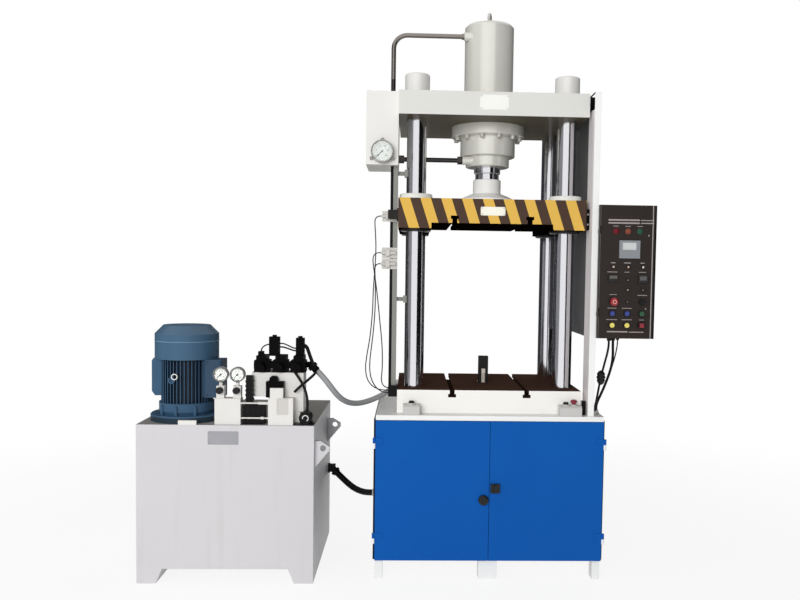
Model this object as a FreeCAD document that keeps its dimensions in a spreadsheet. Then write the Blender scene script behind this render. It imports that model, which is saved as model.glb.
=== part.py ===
import FreeCAD, Part
import math
import os
import Sketcher
from FreeCAD import Rotation, Vector

# Four-column hydraulic press on a two-door cabinet, with its oil power pack beside it.
# Millimetres, +Z up, the press faces -Y. The floor is z = 0 and the origin is the middle of
# the whole machine's footprint. "Press" places are measured from the ram's axis, "pack"
# places from the middle of the tank.

# ---------------------------------------------------------------- driving dimensions
SIZES = {
    # where the two machines stand
    "press_x": 415.5, "press_y": 60, "pack_distance": 1168, "pack_setback": 59,
    "fit_gap": 0.3, "shaft_gap": 0.05,
    # cabinet
    "cabinet_half": 512, "cabinet_front": 374, "cabinet_back": 335, "cabinet_top": 750,
    "top_sheet": 22, "wall_sheet": 4, "leg_height": 90, "leg_width": 35, "leg_depth": 60,
    "middle_leg": 84, "cover_sheet": 9, "door_depth": 18, "door_gap": 4, "door_sheet": 2,
    "door_play": 2, "hinge_radius": 6, "hinge_pin": 3, "hinge_length": 24, "hinge_inset": 80,
    # bed, crown, platen
    "bed_width": 840, "bed_depth": 650, "bed_thick": 105,
    "crown_width": 855, "crown_depth": 670, "crown_thick": 105, "daylight": 1235.5,
    "platen_width": 850, "platen_depth": 650, "platen_thick": 110, "platen_pad": 25,
    "platen_pad_reach": 150, "platen_open": 731,
    "slot_pitch": 340, "slot_neck": 22, "slot_lip": 18, "slot_tee": 36, "slot_tee_height": 15,
    # columns
    "column_radius": 45, "column_shank": 35, "column_x": 345, "column_y": 219,
    "nut_radius": 56.5, "nut_height": 92, "nut_cap": 20, "thread_gap": 5,
    "bush_radius": 60, "bush_flange": 75, "bush_flange_height": 24, "wiper_radius": 70,
    "wiper_height": 12,
    # cylinder and ram
    "barrel_radius": 117.5, "barrel_height": 379.5, "barrel_wall": 27.5, "barrel_end": 20,
    "flange_radius": 175, "flange_thick": 50, "nose_radius": 132, "nose_length": 92,
    "gland_radius": 105, "gland_length": 49, "spigot_length": 52,
    "ram_radius": 63.5, "neck_radius": 57, "neck_height": 149, "piston_drop": 140,
    "piston_height": 60, "hub_radius": 67, "hub_height": 119, "collar_radius": 132,
    "collar_rim": 24, "collar_dome": 28,
    "bolt_circle": 155, "bolt_head": 11, "bolt_height": 16, "bolt_count": 12,
    "eye_radius": 22, "eye_wire": 7, "eye_collar": 18, "eye_collar_height": 12,
    # ejector
    "pocket_depth": 5, "pocket_margin": 3, "pin_radius": 7.5, "pin_height": 49,
    "ejector_side": 46, "ejector_height": 126, "ejector_stem": 12, "ejector_length": 250,
    "lift_cylinder": 40, "lift_flange": 52, "lift_flange_height": 18, "lift_length": 190,
    # gauge box, steel pipes
    "box_width": 145.5, "box_front": 300, "box_back": 30, "box_height": 327.5,
    "box_sheet": 3, "gauge_x": 499, "gauge_rise": 55, "gauge_radius": 50, "gauge_depth": 45,
    "pipe_radius": 11, "pipe_bend": 64, "pipe_y": 60, "pipe_drop": 66, "port_drop": 23.5,
    "pipe_x": 459, "port_radius": 20, "port_x": 125, "pipe_nut": 19, "pipe_nut_length": 24,
    "barrel_nut": 15, "barrel_nut_length": 11,
    # switch bar
    "bar_side": 34, "bar_wall": 3, "bar_gap": 8, "bar_y": 218, "bar_rise": 11,
    "arm_height": 18, "arm_thick": 12, "arm_low": 1254, "arm_high": 1829, "saddle_width": 44,
    "saddle_height": 32, "saddle_thick": 9,
    "sensor_radius": 9, "sensor_length": 62, "sensor_plate": 4, "sensor_reach": 34,
    "sensor_clamp": 14, "foot_height": 51,
    "dog_rise": 31, "dog_height": 58, "dog_thick": 6, "dog_reach": 46,
    # duct post, guard, control box
    "duct_gap": 20, "duct_width": 28, "duct_front": 380, "duct_depth": 120, "duct_sheet": 3,
    "duct_slot": 10, "duct_slot_inset": 8, "duct_slot_length": 520, "duct_mouth": 70,
    "guard_sheet": 3, "guard_back": 200, "guard_low": 1098, "guard_drop": 45.5,
    "control_width": 256, "control_low": 1105, "control_high": 1698, "control_front": 402,
    "control_depth": 172, "control_sheet": 2, "control_door_width": 242,
    "control_door_depth": 20, "button_radius": 11, "button_height": 10, "button_travel": 4,
    "bezel_radius": 14.5, "bezel_height": 6, "stop_radius": 19, "panel_pitch": 66, "control_hinge": 100,
    "row_yellow": 61, "row_step": 52, "row_lamps": 476, "lamp_pitch": 53, "display_drop": 119,
    "display_height": 79, "timer_rise": 88,
    # two-hand stations
    "station_y": 360, "station_depth": 56, "station_height": 45, "palm_radius": 12, "stop_stem": 9,
    "station_left": 392, "station_narrow": 75, "station_right": 313, "station_wide": 100,
    "palm_left": 354, "palm_right": 344, "station_stop_x": 380, "junction_x": 417, "junction_side": 18,
    "junction_height": 64,
    # power pack
    "tank_width": 774, "tank_depth": 752, "tank_high": 706, "tank_sheet": 5, "tank_leg": 65,
    "tank_foot": 84, "tank_slope": 27, "lug_thick": 12, "lug_reach": 66, "lug_height": 121,
    "lug_hole": 13, "lug_drop": 194,
    "motor_x": -210, "motor_y": -201, "motor_flange": 160,
    "motor_flange_thick": 30, "shield_radius": 123, "shield_height": 51, "frame_radius": 104,
    "fin_height": 10, "fin_thick": 3.4, "fin_count": 44, "frame_rise": 278, "cowl_radius": 141,
    "cowl_rise": 428, "cowl_sheet": 2.5, "cowl_bevel": 38, "cowl_top": 104,
    "shaft_radius": 19, "fan_radius": 118, "fan_height": 40, "fan_count": 8,
    "dial_radius": 33, "dial_depth": 30, "dial_rise": 220, "dial_left": -26, "dial_right": 47,
    "valve_rise": 152, "gauge_front": 371, "gauge_base": 116, "pipe_thin": 3.5, "union_radius": 6,
    "manifold_front": 370, "manifold_back": 221, "manifold_low": 120, "manifold_height": 107,
    "coil_radius": 19, "coil_length": 40, "knob_radius": 15, "knob_depth": 22,
    # cords
    "conduit_radius": 13, "hose_radius": 16, "wire_radius": 2.5,
}

doc = FreeCAD.newDocument("hydraulic_press")
sheet = doc.addObject("Spreadsheet::Sheet", "sizes")
for row, (alias, number) in enumerate(SIZES.items(), start=1):
    sheet.set(f"A{row}", alias)
    sheet.set(f"B{row}", str(number))
    sheet.setAlias(f"B{row}", alias)
doc.recompute()


class Size:
    """A length worked out from the sheet: its number now, and the formula that the document keeps."""

    def __init__(self, number, formula):
        self.number = float(number)
        self.formula = formula

    def __add__(self, other):
        other = as_size(other)
        return Size(self.number + other.number, f"({self.formula} + {other.formula})")

    def __sub__(self, other):
        other = as_size(other)
        return Size(self.number - other.number, f"({self.formula} - {other.formula})")

    def __mul__(self, other):
        other = as_size(other)
        return Size(self.number * other.number, f"({self.formula} * {other.formula})")

    def __truediv__(self, other):
        other = as_size(other)
        return Size(self.number / other.number, f"({self.formula} / {other.formula})")

    def __neg__(self):
        return Size(-self.number, f"(-1 * {self.formula})")

    def __radd__(self, other):
        return as_size(other) + self

    def __rsub__(self, other):
        return as_size(other) - self

    def __rmul__(self, other):
        return as_size(other) * self


def as_size(value):
    return value if isinstance(value, Size) else Size(value, f"({float(value)!r})")


class Sheet:
    """The sheet's cells by name, as sizes."""

    def __getattr__(self, name):
        return Size(SIZES[name], f"sizes.{name}")


S = Sheet()
PRESS = (S.press_x, S.press_y)
PACK = (S.press_x - S.pack_distance, S.press_y - S.pack_setback)
AXES = {"X": Rotation(Vector(0, 1, 0), 90), "Y": Rotation(Vector(1, 0, 0), -90), "Z": Rotation()}
spots = {}
nodes = {}


# ---------------------------------------------------------------- making pieces
def bind(thing, prop, size):
    thing.setExpression(prop, as_size(size).formula)


def put(thing, at, turn=None):
    """Stand a piece at a place of its own machine, turned if asked."""
    spots[thing.Name] = at
    thing.Placement = FreeCAD.Placement(Vector(*(as_size(v).number for v in at)), turn or Rotation())
    for letter, value in zip("xyz", at):
        bind(thing, f".Placement.Base.{letter}", value)
    return thing


def node(label, thing, machine=PRESS):
    """Name a finished sub-part and carry it to its machine."""
    x, y, z = spots.get(thing.Name, (0, 0, 0))
    bind(thing, ".Placement.Base.x", machine[0] + x)
    bind(thing, ".Placement.Base.y", machine[1] + y)
    bind(thing, ".Placement.Base.z", z)
    thing.Label = label
    nodes[label] = thing
    return thing


def block(x, y, z):
    """A box between two places along each axis."""
    thing = doc.addObject("Part::Box", "block")
    for prop, (low, high) in zip(("Length", "Width", "Height"), (x, y, z)):
        bind(thing, prop, as_size(high) - low)
    return put(thing, (x[0], y[0], z[0]))


def rod(radius, at, length, axis="Z"):
    """A round bar that starts at a place and runs along an axis."""
    thing = doc.addObject("Part::Cylinder", "rod")
    bind(thing, "Radius", radius)
    bind(thing, "Height", length)
    return put(thing, at, AXES[axis])


def hexagon(radius, at, length, axis="Z"):
    thing = doc.addObject("Part::Prism", "hexagon")
    thing.Polygon = 6
    bind(thing, "Circumradius", radius)
    bind(thing, "Height", length)
    return put(thing, at, AXES[axis])


def fuse(pieces):
    thing = doc.addObject("Part::MultiFuse", "joined")
    thing.Shapes = pieces
    return thing


def group(pieces):
    """Separate solids that share one sub-part."""
    thing = doc.addObject("Part::Compound", "group")
    thing.Links = pieces
    return thing


def cut(base, tools):
    thing = doc.addObject("Part::Cut", "cut")
    thing.Base = base
    thing.Tool = tools[0] if len(tools) == 1 else fuse(tools)
    return thing


def tray(x, y, z, sheet_size, open_side):
    """A folded sheet box, open on one side: "+y", "-y" or None where it is closed all round."""
    low_y = y[0] - 1 if open_side == "-y" else y[0] + sheet_size
    high_y = y[1] + 1 if open_side == "+y" else y[1] - sheet_size
    inside = block((x[0] + sheet_size, x[1] - sheet_size), (low_y, high_y),
                   (z[0] + sheet_size, z[1] - sheet_size))
    return cut(block(x, y, z), [inside])


def outline(body, plane, points):
    """A closed outline of straight sides whose corners are held by their distances from the origin."""
    sketch = body.newObject("Sketcher::SketchObject", "outline")
    origin_plane = [part for part in body.Origin.OriginFeatures if part.Role == plane][0]
    sketch.AttachmentSupport = [(origin_plane, "")]
    sketch.MapMode = "FlatFace"
    corners = [(as_size(u), as_size(v)) for u, v in points]
    for (u, v), (next_u, next_v) in zip(corners, corners[1:] + corners[:1]):
        side = Part.LineSegment(Vector(u.number, v.number, 0), Vector(next_u.number, next_v.number, 0))
        sketch.addGeometry(side, False)
    for index in range(len(corners)):
        sketch.addConstraint(Sketcher.Constraint("Coincident", index, 2, (index + 1) % len(corners), 1))
    for index, corner in enumerate(corners):
        for kind, size in zip(("DistanceX", "DistanceY"), corner):
            place = sketch.addConstraint(Sketcher.Constraint(kind, -1, 1, index, 1, size.number))
            sketch.setExpression(f"Constraints[{place}]", size.formula)
    return sketch


def pad(plane, points, length, at=(0, 0, 0)):
    """An outline pushed out to both sides of its plane."""
    body = doc.addObject("PartDesign::Body", "pad_body")
    sketch = outline(body, plane, points)
    feature = body.newObject("PartDesign::Pad", "pad")
    feature.Profile = sketch
    feature.Midplane = True
    bind(feature, "Length", length)
    return put(body, at)


def turned(points, at=(0, 0, 0), axis="Z"):
    """A turned piece: points of radius and height along its axis."""
    body = doc.addObject("PartDesign::Body", "turned_body")
    sketch = outline(body, "XZ_Plane", points)
    feature = body.newObject("PartDesign::Revolution", "turned")
    feature.Profile = sketch
    feature.ReferenceAxis = (sketch, ["V_Axis"])
    feature.Angle = 360
    return put(body, at, AXES[axis])


def corners_of(x, y):
    return [(side_x * x, side_y * y) for side_x in (-1, 1) for side_y in (-1, 1)]


def smooth_path(points, radii=None):
    """Straight runs joined by tangent arcs, each arc as large as its two runs allow."""
    places = [Vector(*point) for point in points]
    edges = []
    start = places[0]
    found = []
    for before, here, after in zip(places, places[1:], places[2:]):
        into = (here - before).normalize()
        away = (after - here).normalize()
        turn = into.getAngle(away)
        shorter = min((here - before).Length, (after - here).Length)
        radius = radii if radii else 0.45 * shorter / math.tan(turn / 2)
        back = radius * math.tan(turn / 2)
        first = here - into * back
        last = here + away * back
        inward = (away - into).normalize()
        middle = here + inward * (radius / math.cos(turn / 2) - radius)
        edges.append(Part.LineSegment(start, first).toShape())
        edges.append(Part.Arc(first, middle, last).toShape())
        start = last
        found.append(radius)
    edges.append(Part.LineSegment(start, places[-1]).toShape())
    return Part.Wire(edges), found


def tube(name, points, radius, machine, bend=None):
    """A round tube along a path; prints its bends and compares its volume with section times length."""
    origin = Vector(machine[0].number, machine[1].number, 0)
    path, radii = smooth_path(points, bend)
    direction = (Vector(*points[1]) - Vector(*points[0])).normalize()
    ring = Part.Wire(Part.Circle(Vector(*points[0]), direction, radius).toShape())
    solid = path.makePipeShell([ring], True)
    expected = math.pi * radius ** 2 * path.Length
    print(f"{name}: length {path.Length:.0f}, least bend {min(radii):.0f}, "
          f"volume {solid.Volume / expected:.4f} of section x length")
    thing = doc.addObject("Part::Feature", name)
    thing.Shape = solid
    thing.Placement.Base = origin
    return thing


# ---------------------------------------------------------------- heights worked out
BED_TOP = S.cabinet_top + S.bed_thick
CROWN_LOW = BED_TOP + S.daylight
CROWN_HIGH = CROWN_LOW + S.crown_thick
PLATEN_LOW = BED_TOP + S.platen_open
PLATEN_CORE = PLATEN_LOW + S.platen_pad
PLATEN_TOP = PLATEN_CORE + S.platen_thick
FLANGE_LOW = CROWN_LOW - S.flange_thick
NOSE_LOW = FLANGE_LOW - S.nose_length
BARREL_TOP = CROWN_HIGH + S.barrel_height
NECK_TOP = PLATEN_TOP + S.neck_height
PISTON_LOW = BARREL_TOP - S.piston_drop
PIPE_HIGH = BARREL_TOP - S.pipe_drop
PIPE_LOW = NOSE_LOW - S.port_drop
BOX_LOW = CROWN_HIGH - S.box_height
GAUGE_Z = BOX_LOW + S.gauge_rise
STATION_HIGH = S.cabinet_top + S.station_height
BAR_LOW = BED_TOP + S.bar_rise
BED_SIDE = S.bed_width / 2
BAR_X = BED_SIDE + S.bar_gap
CROWN_SIDE = S.crown_width / 2
PLATEN_SIDE = S.platen_width / 2
COLUMNS = corners_of(S.column_x, S.column_y)
DOOR_BACK = -S.cabinet_front - S.door_gap
DOOR_FRONT = DOOR_BACK - S.door_depth
HINGE_X = S.cabinet_half + S.hinge_radius + 0.5
HINGE_Y = DOOR_FRONT - S.door_sheet
DUCT_X = BED_SIDE + S.duct_gap
CONTROL_LEFT = DUCT_X + S.duct_width
CONTROL_FACE = -S.control_front - S.control_door_depth


# ---------------------------------------------------------------- cabinet
def hinge_heights():
    low = S.leg_height + S.hinge_inset
    high = S.cabinet_top - S.top_sheet - S.hinge_inset - S.hinge_length * 2
    return [low, high]


def fixed_hinge(side, z):
    """The cabinet's half of a door hinge: a knuckle on a leaf, with the pin standing up from it."""
    x = side * HINGE_X
    inner, outer = sorted((x - side * 2.5, x + side * 2.5), key=lambda size: size.number)
    knuckle = rod(S.hinge_radius, (x, HINGE_Y, z), S.hinge_length)
    pin = rod(S.hinge_pin, (x, HINGE_Y, z), S.hinge_length * 2)
    leaf = block((inner, outer), (HINGE_Y, -S.cabinet_front), (z, z + S.hinge_length))
    edge = sorted((side * (S.cabinet_half - 6), outer if side > 0 else inner),
                  key=lambda size: size.number)
    lip = block(edge, (-S.cabinet_front - 2, -S.cabinet_front), (z, z + S.hinge_length))
    return fuse([knuckle, pin, leaf, lip])


def cabinet_frame():
    """Sheets welded edge to edge, a thick top with a ledge over the doors, legs and fixed hinge halves."""
    half = S.cabinet_half
    wall = S.wall_sheet
    front, back = -S.cabinet_front, S.cabinet_back
    under = S.cabinet_top - S.top_sheet
    upright = (S.leg_height, under)
    pieces = [block((-half, -half + wall), (front, back), upright),
              block((half - wall, half), (front, back), upright),
              block((-half + wall, half - wall), (back - wall, back), upright),
              block((-half + wall, half - wall), (front, back - wall), (S.leg_height, S.leg_height + wall))]
    for low_x in (-half, half - S.leg_width):
        for low_y in (front, back - S.leg_depth):
            pieces.append(block((low_x, low_x + S.leg_width), (low_y, low_y + S.leg_depth),
                                (0, S.leg_height)))
    pieces.append(block((-S.middle_leg / 2, S.middle_leg / 2), (front, front + S.leg_depth),
                        (0, S.leg_height)))
    holes = [rod(S.nut_radius + 4, (x, y, under - 1), S.top_sheet + 2) for x, y in COLUMNS]
    holes.append(rod(S.lift_flange + 4, (0, 0, under - 1), S.top_sheet + 2))
    pieces.append(cut(block((-half, half), (DOOR_FRONT, back), (under, S.cabinet_top)), holes))
    pieces += [fixed_hinge(side, z) for side in (-1, 1) for z in hinge_heights()]
    node("cabinet_frame", group(pieces))


def side_covers():
    covers = []
    for side in (-1, 1):
        inner = side * S.cabinet_half
        low, high = sorted((inner, inner + side * S.cover_sheet), key=lambda size: size.number)
        covers.append(block((low, high), (-S.cabinet_front + 2, S.cabinet_back),
                            (S.leg_height, S.cabinet_top - S.top_sheet)))
    node("side_covers", group(covers))


def door(side):
    """A pan of folded sheet with its halves of the two hinges and a hole for the latch's stem."""
    edge = S.cabinet_half
    low, high = sorted((side * 1.0 * S.door_play / 2, side * edge), key=lambda size: size.number)
    z_low = S.leg_height + S.door_play
    z_high = S.cabinet_top - S.top_sheet - S.door_play
    pan = tray((low, high), (DOOR_FRONT, DOOR_BACK), (z_low, z_high), S.door_sheet, "+y")
    latch_x, latch_z = LATCHES[side]
    hole = rod(6 + S.shaft_gap, (latch_x, DOOR_FRONT - 1, latch_z), 10, "Y")
    knuckles = []
    bores = []
    for z in hinge_heights():
        x = side * HINGE_X
        base = z + S.hinge_length + 0.5
        knuckles.append(rod(S.hinge_radius, (x, HINGE_Y, base), S.hinge_length))
        tab = sorted((x, side * (edge - 32)), key=lambda size: size.number)
        knuckles.append(block(tab, (DOOR_FRONT - 3, DOOR_FRONT), (base, base + S.hinge_length)))
        bores.append(rod(S.hinge_pin + S.shaft_gap, (x, HINGE_Y, base - 1), S.hinge_length + 2))
    return cut(fuse([pan] + knuckles), bores + [hole])


LATCHES = {-1: (as_size(-26), as_size(371)), 1: (as_size(26), as_size(424))}


def latch_stem(x, z):
    """The stem through the door and the cam behind its sheet, hanging down."""
    stem = rod(6, (x, DOOR_FRONT - 4, z), 14, "Y")
    inner = DOOR_FRONT + S.door_sheet
    cam = block((x - 6, x + 6), (inner + 2, inner + 5), (z - 20, z + 7))
    return [stem, cam]


def latches():
    x, z = LATCHES[-1]
    knob = turned([(0, 0), (16, 0), (22, 3), (23, 8), (23, 14), (14, 17.7), (0, 17.7)],
                  (x, DOOR_FRONT - 18, z), "Y")
    grip = block((x - 4, x + 4), (DOOR_FRONT - 26, DOOR_FRONT - 14), (z - 19, z + 19))
    node("latch_left", fuse([knob, grip] + latch_stem(x, z)))
    x, z = LATCHES[1]
    plate = block((x - 21, x + 21), (DOOR_FRONT - 12, DOOR_FRONT - S.fit_gap), (z - 21, z + 21))
    grip = block((x - 5, x + 5), (DOOR_FRONT - 24, DOOR_FRONT - 11), (z - 18, z + 18))
    node("latch_right", fuse([plate, grip] + latch_stem(x, z)))


# ---------------------------------------------------------------- frame of the press
def slots(top, up):
    """Corner points of the T-slots of a plate's face, from -X to +X (up = 1) or back (up = -1)."""
    points = []
    for middle in (-S.slot_pitch / 2, S.slot_pitch / 2):
        neck = S.slot_neck / 2
        tee = S.slot_tee / 2
        lip = top - up * S.slot_lip
        floor = lip - up * S.slot_tee_height
        points += [(middle - neck, top), (middle - neck, lip), (middle - tee, lip), (middle - tee, floor),
                   (middle + tee, floor), (middle + tee, lip), (middle + neck, lip), (middle + neck, top)]
    return points


def column_bores(radius, low, high):
    return [rod(radius, (x, y, low - 1), high - low + 2) for x, y in COLUMNS]


def ejector_foot():
    """The sides of the ejector's foot: left, right, front and back."""
    half = S.ejector_side / 2
    return -half - 3, half - 3, -half - 6 - S.pin_radius, half


def bed():
    low = S.cabinet_top
    points = [(-BED_SIDE, low), (-BED_SIDE, BED_TOP)] + slots(BED_TOP, 1)
    points += [(BED_SIDE, BED_TOP), (BED_SIDE, low)]
    plate = pad("XZ_Plane", points, S.bed_depth)
    bores = column_bores(S.column_shank + S.fit_gap, low, BED_TOP)
    bores.append(rod(S.ejector_stem + 3, (0, 0, low - 1), S.bed_thick + 2))
    left, right, front, back = ejector_foot()
    margin = S.pocket_margin
    bores.append(block((left - margin, right + margin), (front - margin, back + margin),
                       (BED_TOP - S.pocket_depth, BED_TOP + 1)))
    node("bed_plate", cut(plate, bores))


def columns():
    bars = []
    for x, y in COLUMNS:
        shank = S.column_shank
        low = S.cabinet_top - S.nut_height + S.nut_cap + S.thread_gap
        high = CROWN_HIGH + S.nut_height - S.nut_cap - S.thread_gap
        profile = [(0, low), (shank - 3, low), (shank, low + 3), (shank, BED_TOP), (S.column_radius, BED_TOP),
                   (S.column_radius, CROWN_LOW), (shank, CROWN_LOW), (shank, high - 3), (shank - 3, high),
                   (0, high)]
        bars.append(turned(profile, (x, y, 0)))
    node("columns", group(bars))


def column_nuts():
    """Round cap nuts: four on the crown, four under the bed, mouths towards the plates."""
    nuts = []
    bore = S.column_shank + S.fit_gap
    out = S.nut_radius
    for x, y in COLUMNS:
        for face, way in ((CROWN_HIGH, 1), (S.cabinet_top, -1)):
            deep = face + way * (S.nut_height - S.nut_cap)
            tip = face + way * S.nut_height
            profile = [(bore, face), (out, face), (out, tip - way * 5), (out - 5, tip), (0, tip), (0, deep),
                       (bore, deep)]
            nuts.append(turned(profile, (x, y, 0)))
    node("column_nuts", group(nuts))


def crown():
    half = S.crown_depth / 2
    slab = block((-CROWN_SIDE, CROWN_SIDE), (-half, half), (CROWN_LOW, CROWN_HIGH))
    bores = column_bores(S.column_shank + S.fit_gap, CROWN_LOW, CROWN_HIGH)
    bores.append(rod(S.barrel_radius + S.fit_gap, (0, 0, CROWN_LOW - 1), S.crown_thick + 2))
    node("crown_plate", cut(slab, bores))


def platen():
    inner = PLATEN_SIDE - S.platen_pad_reach
    points = [(-PLATEN_SIDE, PLATEN_TOP), (-PLATEN_SIDE, PLATEN_LOW), (-inner, PLATEN_LOW)]
    points += [(-inner, PLATEN_CORE)] + slots(PLATEN_CORE, -1) + [(inner, PLATEN_CORE)]
    points += [(inner, PLATEN_LOW), (PLATEN_SIDE, PLATEN_LOW), (PLATEN_SIDE, PLATEN_TOP)]
    plate = pad("XZ_Plane", points, S.platen_depth)
    node("platen", cut(plate, column_bores(S.bush_radius + S.fit_gap, PLATEN_LOW, PLATEN_TOP)))


def guide_bushes():
    """Flanged bushes in the platen's corners and the wiper rings below them."""
    pieces = []
    bore = S.column_radius + S.shaft_gap
    for x, y in COLUMNS:
        top = PLATEN_TOP + S.bush_flange_height
        bush = [(bore, PLATEN_LOW), (S.bush_radius, PLATEN_LOW), (S.bush_radius, PLATEN_TOP),
                (S.bush_flange, PLATEN_TOP), (S.bush_flange, top - 3), (S.bush_flange - 3, top), (bore, top)]
        low = PLATEN_LOW - S.wiper_height
        wiper = [(bore, low), (S.wiper_radius - 4, low), (S.wiper_radius, low + 4),
                 (S.wiper_radius, PLATEN_LOW), (bore, PLATEN_LOW)]
        pieces += [turned(bush, (x, y, 0)), turned(wiper, (x, y, 0))]
    node("guide_bushes", group(pieces))


# ---------------------------------------------------------------- cylinder, ram
def cylinder():
    bore = S.barrel_radius - S.barrel_wall
    out = S.barrel_radius
    profile = [(bore, NOSE_LOW), (S.nose_radius - 3, NOSE_LOW), (S.nose_radius, NOSE_LOW + 3),
               (S.nose_radius, FLANGE_LOW), (S.flange_radius - 3, FLANGE_LOW),
               (S.flange_radius, FLANGE_LOW + 3),
               (S.flange_radius, CROWN_LOW), (out, CROWN_LOW), (out, BARREL_TOP - 12),
               (out - 12, BARREL_TOP), (0, BARREL_TOP), (0, BARREL_TOP - S.barrel_end),
               (bore, BARREL_TOP - S.barrel_end)]
    reach = S.barrel_radius - S.barrel_wall / 2
    port = rod(S.port_radius, (-S.port_x, -S.pipe_y, PIPE_HIGH), S.port_x - reach * 0.8, "X")
    node("cylinder_barrel", fuse([turned(profile), port]))


def gland():
    bore = S.ram_radius + S.shaft_gap
    spigot = S.barrel_radius - S.barrel_wall - S.fit_gap
    low = NOSE_LOW - S.gland_length
    profile = [(bore, low), (S.gland_radius - 4, low), (S.gland_radius, low + 4), (S.gland_radius, NOSE_LOW),
               (spigot, NOSE_LOW), (spigot, NOSE_LOW + S.spigot_length), (bore, NOSE_LOW + S.spigot_length)]
    port = rod(S.port_radius, (-S.port_x, -S.pipe_y, PIPE_LOW), S.port_x - S.ram_radius - 10, "X")
    node("cylinder_gland", fuse([turned(profile), port]))


def cylinder_fasteners():
    """The ring of socket bolts under the flange and the lifting eye on the barrel's top."""
    heads = []
    for step in range(SIZES["bolt_count"]):
        angle = math.radians(360 / SIZES["bolt_count"] * (step + 0.5))
        x = S.bolt_circle * math.cos(angle)
        y = S.bolt_circle * math.sin(angle)
        head = rod(S.bolt_head, (x, y, FLANGE_LOW - S.bolt_height), S.bolt_height)
        socket = hexagon(S.bolt_head * 0.55, (x, y, FLANGE_LOW - S.bolt_height - 1), S.bolt_height * 0.6)
        heads.append(cut(head, [socket]))
    base = BARREL_TOP
    foot = turned([(0, base), (S.eye_collar, base), (S.eye_collar, base + S.eye_collar_height / 2),
                   (S.eye_collar - 7, base + S.eye_collar_height), (0, base + S.eye_collar_height)])
    ring = doc.addObject("Part::Torus", "ring")
    bind(ring, "Radius1", S.eye_radius)
    bind(ring, "Radius2", S.eye_wire)
    ring_z = base + S.eye_collar_height + S.eye_radius + S.eye_wire - 4
    put(ring, (0, 0, ring_z), Rotation(Vector(0, 0, 1), 75) * AXES["Y"])
    node("cylinder_fasteners", group(heads + [fuse([foot, ring])]))


def ram():
    profile = [(0, PLATEN_TOP), (S.neck_radius, PLATEN_TOP), (S.neck_radius, NECK_TOP - 3),
               (S.ram_radius, NECK_TOP), (S.ram_radius, PISTON_LOW)]
    piston = S.barrel_radius - S.barrel_wall - S.fit_gap
    top = PISTON_LOW + S.piston_height
    profile += [(piston, PISTON_LOW), (piston, top - 3), (piston - 3, top), (0, top)]
    node("ram", turned(profile))


def ram_collar():
    bore = S.neck_radius + S.fit_gap
    rim = PLATEN_TOP + S.collar_rim
    dome = rim + S.collar_dome
    top = PLATEN_TOP + S.hub_height
    profile = [(bore, PLATEN_TOP), (S.collar_radius, PLATEN_TOP), (S.collar_radius, rim),
               (S.hub_radius + 30, rim + S.collar_dome * 0.6), (S.hub_radius, dome),
               (S.hub_radius, top - 4), (S.hub_radius - 4, top), (bore, top)]
    node("ram_collar", turned(profile))


# ---------------------------------------------------------------- ejector
def ejector():
    """A square post that rests in a shallow pocket of the table, with a bright pin beside it."""
    left, right, front, back = ejector_foot()
    rest = BED_TOP - S.pocket_depth + S.fit_gap
    post = block((left, right), (-S.ejector_side / 2, back), (rest, BED_TOP + S.ejector_height))
    stem = rod(S.ejector_stem, (0, 0, rest - S.ejector_length), S.ejector_length + 2)
    radius = S.pin_radius
    tip = S.pin_height
    pin = turned([(0, 0), (radius, 0), (radius, tip - 2), (radius - 2, tip), (0, tip)],
                 (-2, front + radius, rest))
    node("ejector", fuse([post, stem, pin]))


def lift_cylinder():
    """The small cylinder that raises the ejector, bolted up under the bed."""
    top = S.cabinet_top
    bore = S.ejector_stem + S.shaft_gap
    low = top - S.lift_length
    flange = top - S.lift_flange_height
    profile = [(bore, top), (S.lift_flange, top), (S.lift_flange, flange), (S.lift_cylinder, flange),
               (S.lift_cylinder, low), (0, low), (0, low + 15), (bore, low + 15)]
    node("lift_cylinder", turned(profile))


# ---------------------------------------------------------------- gauge box and steel pipes
def gauge_box():
    right = -CROWN_SIDE
    node("gauge_box", tray((right - S.box_width, right), (-S.box_front, -S.box_back),
                           (BOX_LOW, CROWN_HIGH), S.box_sheet, None))


def press_gauge():
    face = -S.box_front
    at = (-S.gauge_x, face - S.gauge_depth, GAUGE_Z)
    case = plain_case(S.gauge_radius, S.gauge_depth, at)
    lugs = []
    for angle in (90, 210, 330):
        reach = S.gauge_radius + 6
        x = -S.gauge_x + reach * math.cos(math.radians(angle))
        z = GAUGE_Z + reach * math.sin(math.radians(angle))
        lugs.append(cut(rod(9, (x, face - 5, z), 5, "Y"), [rod(2.5, (x, face - 6, z), 7, "Y")]))
    node("press_gauge", fuse([case] + lugs))


def plain_case(radius, depth, at):
    """A round can whose rim stands proud of the dial, with a spindle stub in its middle."""
    profile = [(0, 6), (1.5, 6), (1.5, 10), (radius - 5, 10), (radius - 5, 0), (radius - 1, 0),
               (radius, 1), (radius, depth), (0, depth)]
    return turned(profile, at, "Y")


def needle(label, radius, at, machine=PRESS):
    """A pointer on its hub, resting at the low left end of the scale, just clear of the dial."""
    x, y, z = at
    reach = radius - 9
    blade = pad("XZ_Plane", [(-2.2, -5), (2.2, -5), (0.7, reach), (-0.7, reach)], 1)
    spot = (x, y + 8, z)
    put(blade, spot, Rotation(Vector(0, 1, 0), 225))
    hub = cut(rod(4, (x, y + 6.5, z), 2.5, "Y"), [rod(1.5 + S.shaft_gap, (x, y + 5, z), 5, "Y")])
    bored = cut(blade, [rod(1.5 + S.shaft_gap, (x, y + 5, z), 5, "Y")])
    node(label, fuse([bored, hub]), machine)


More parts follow.
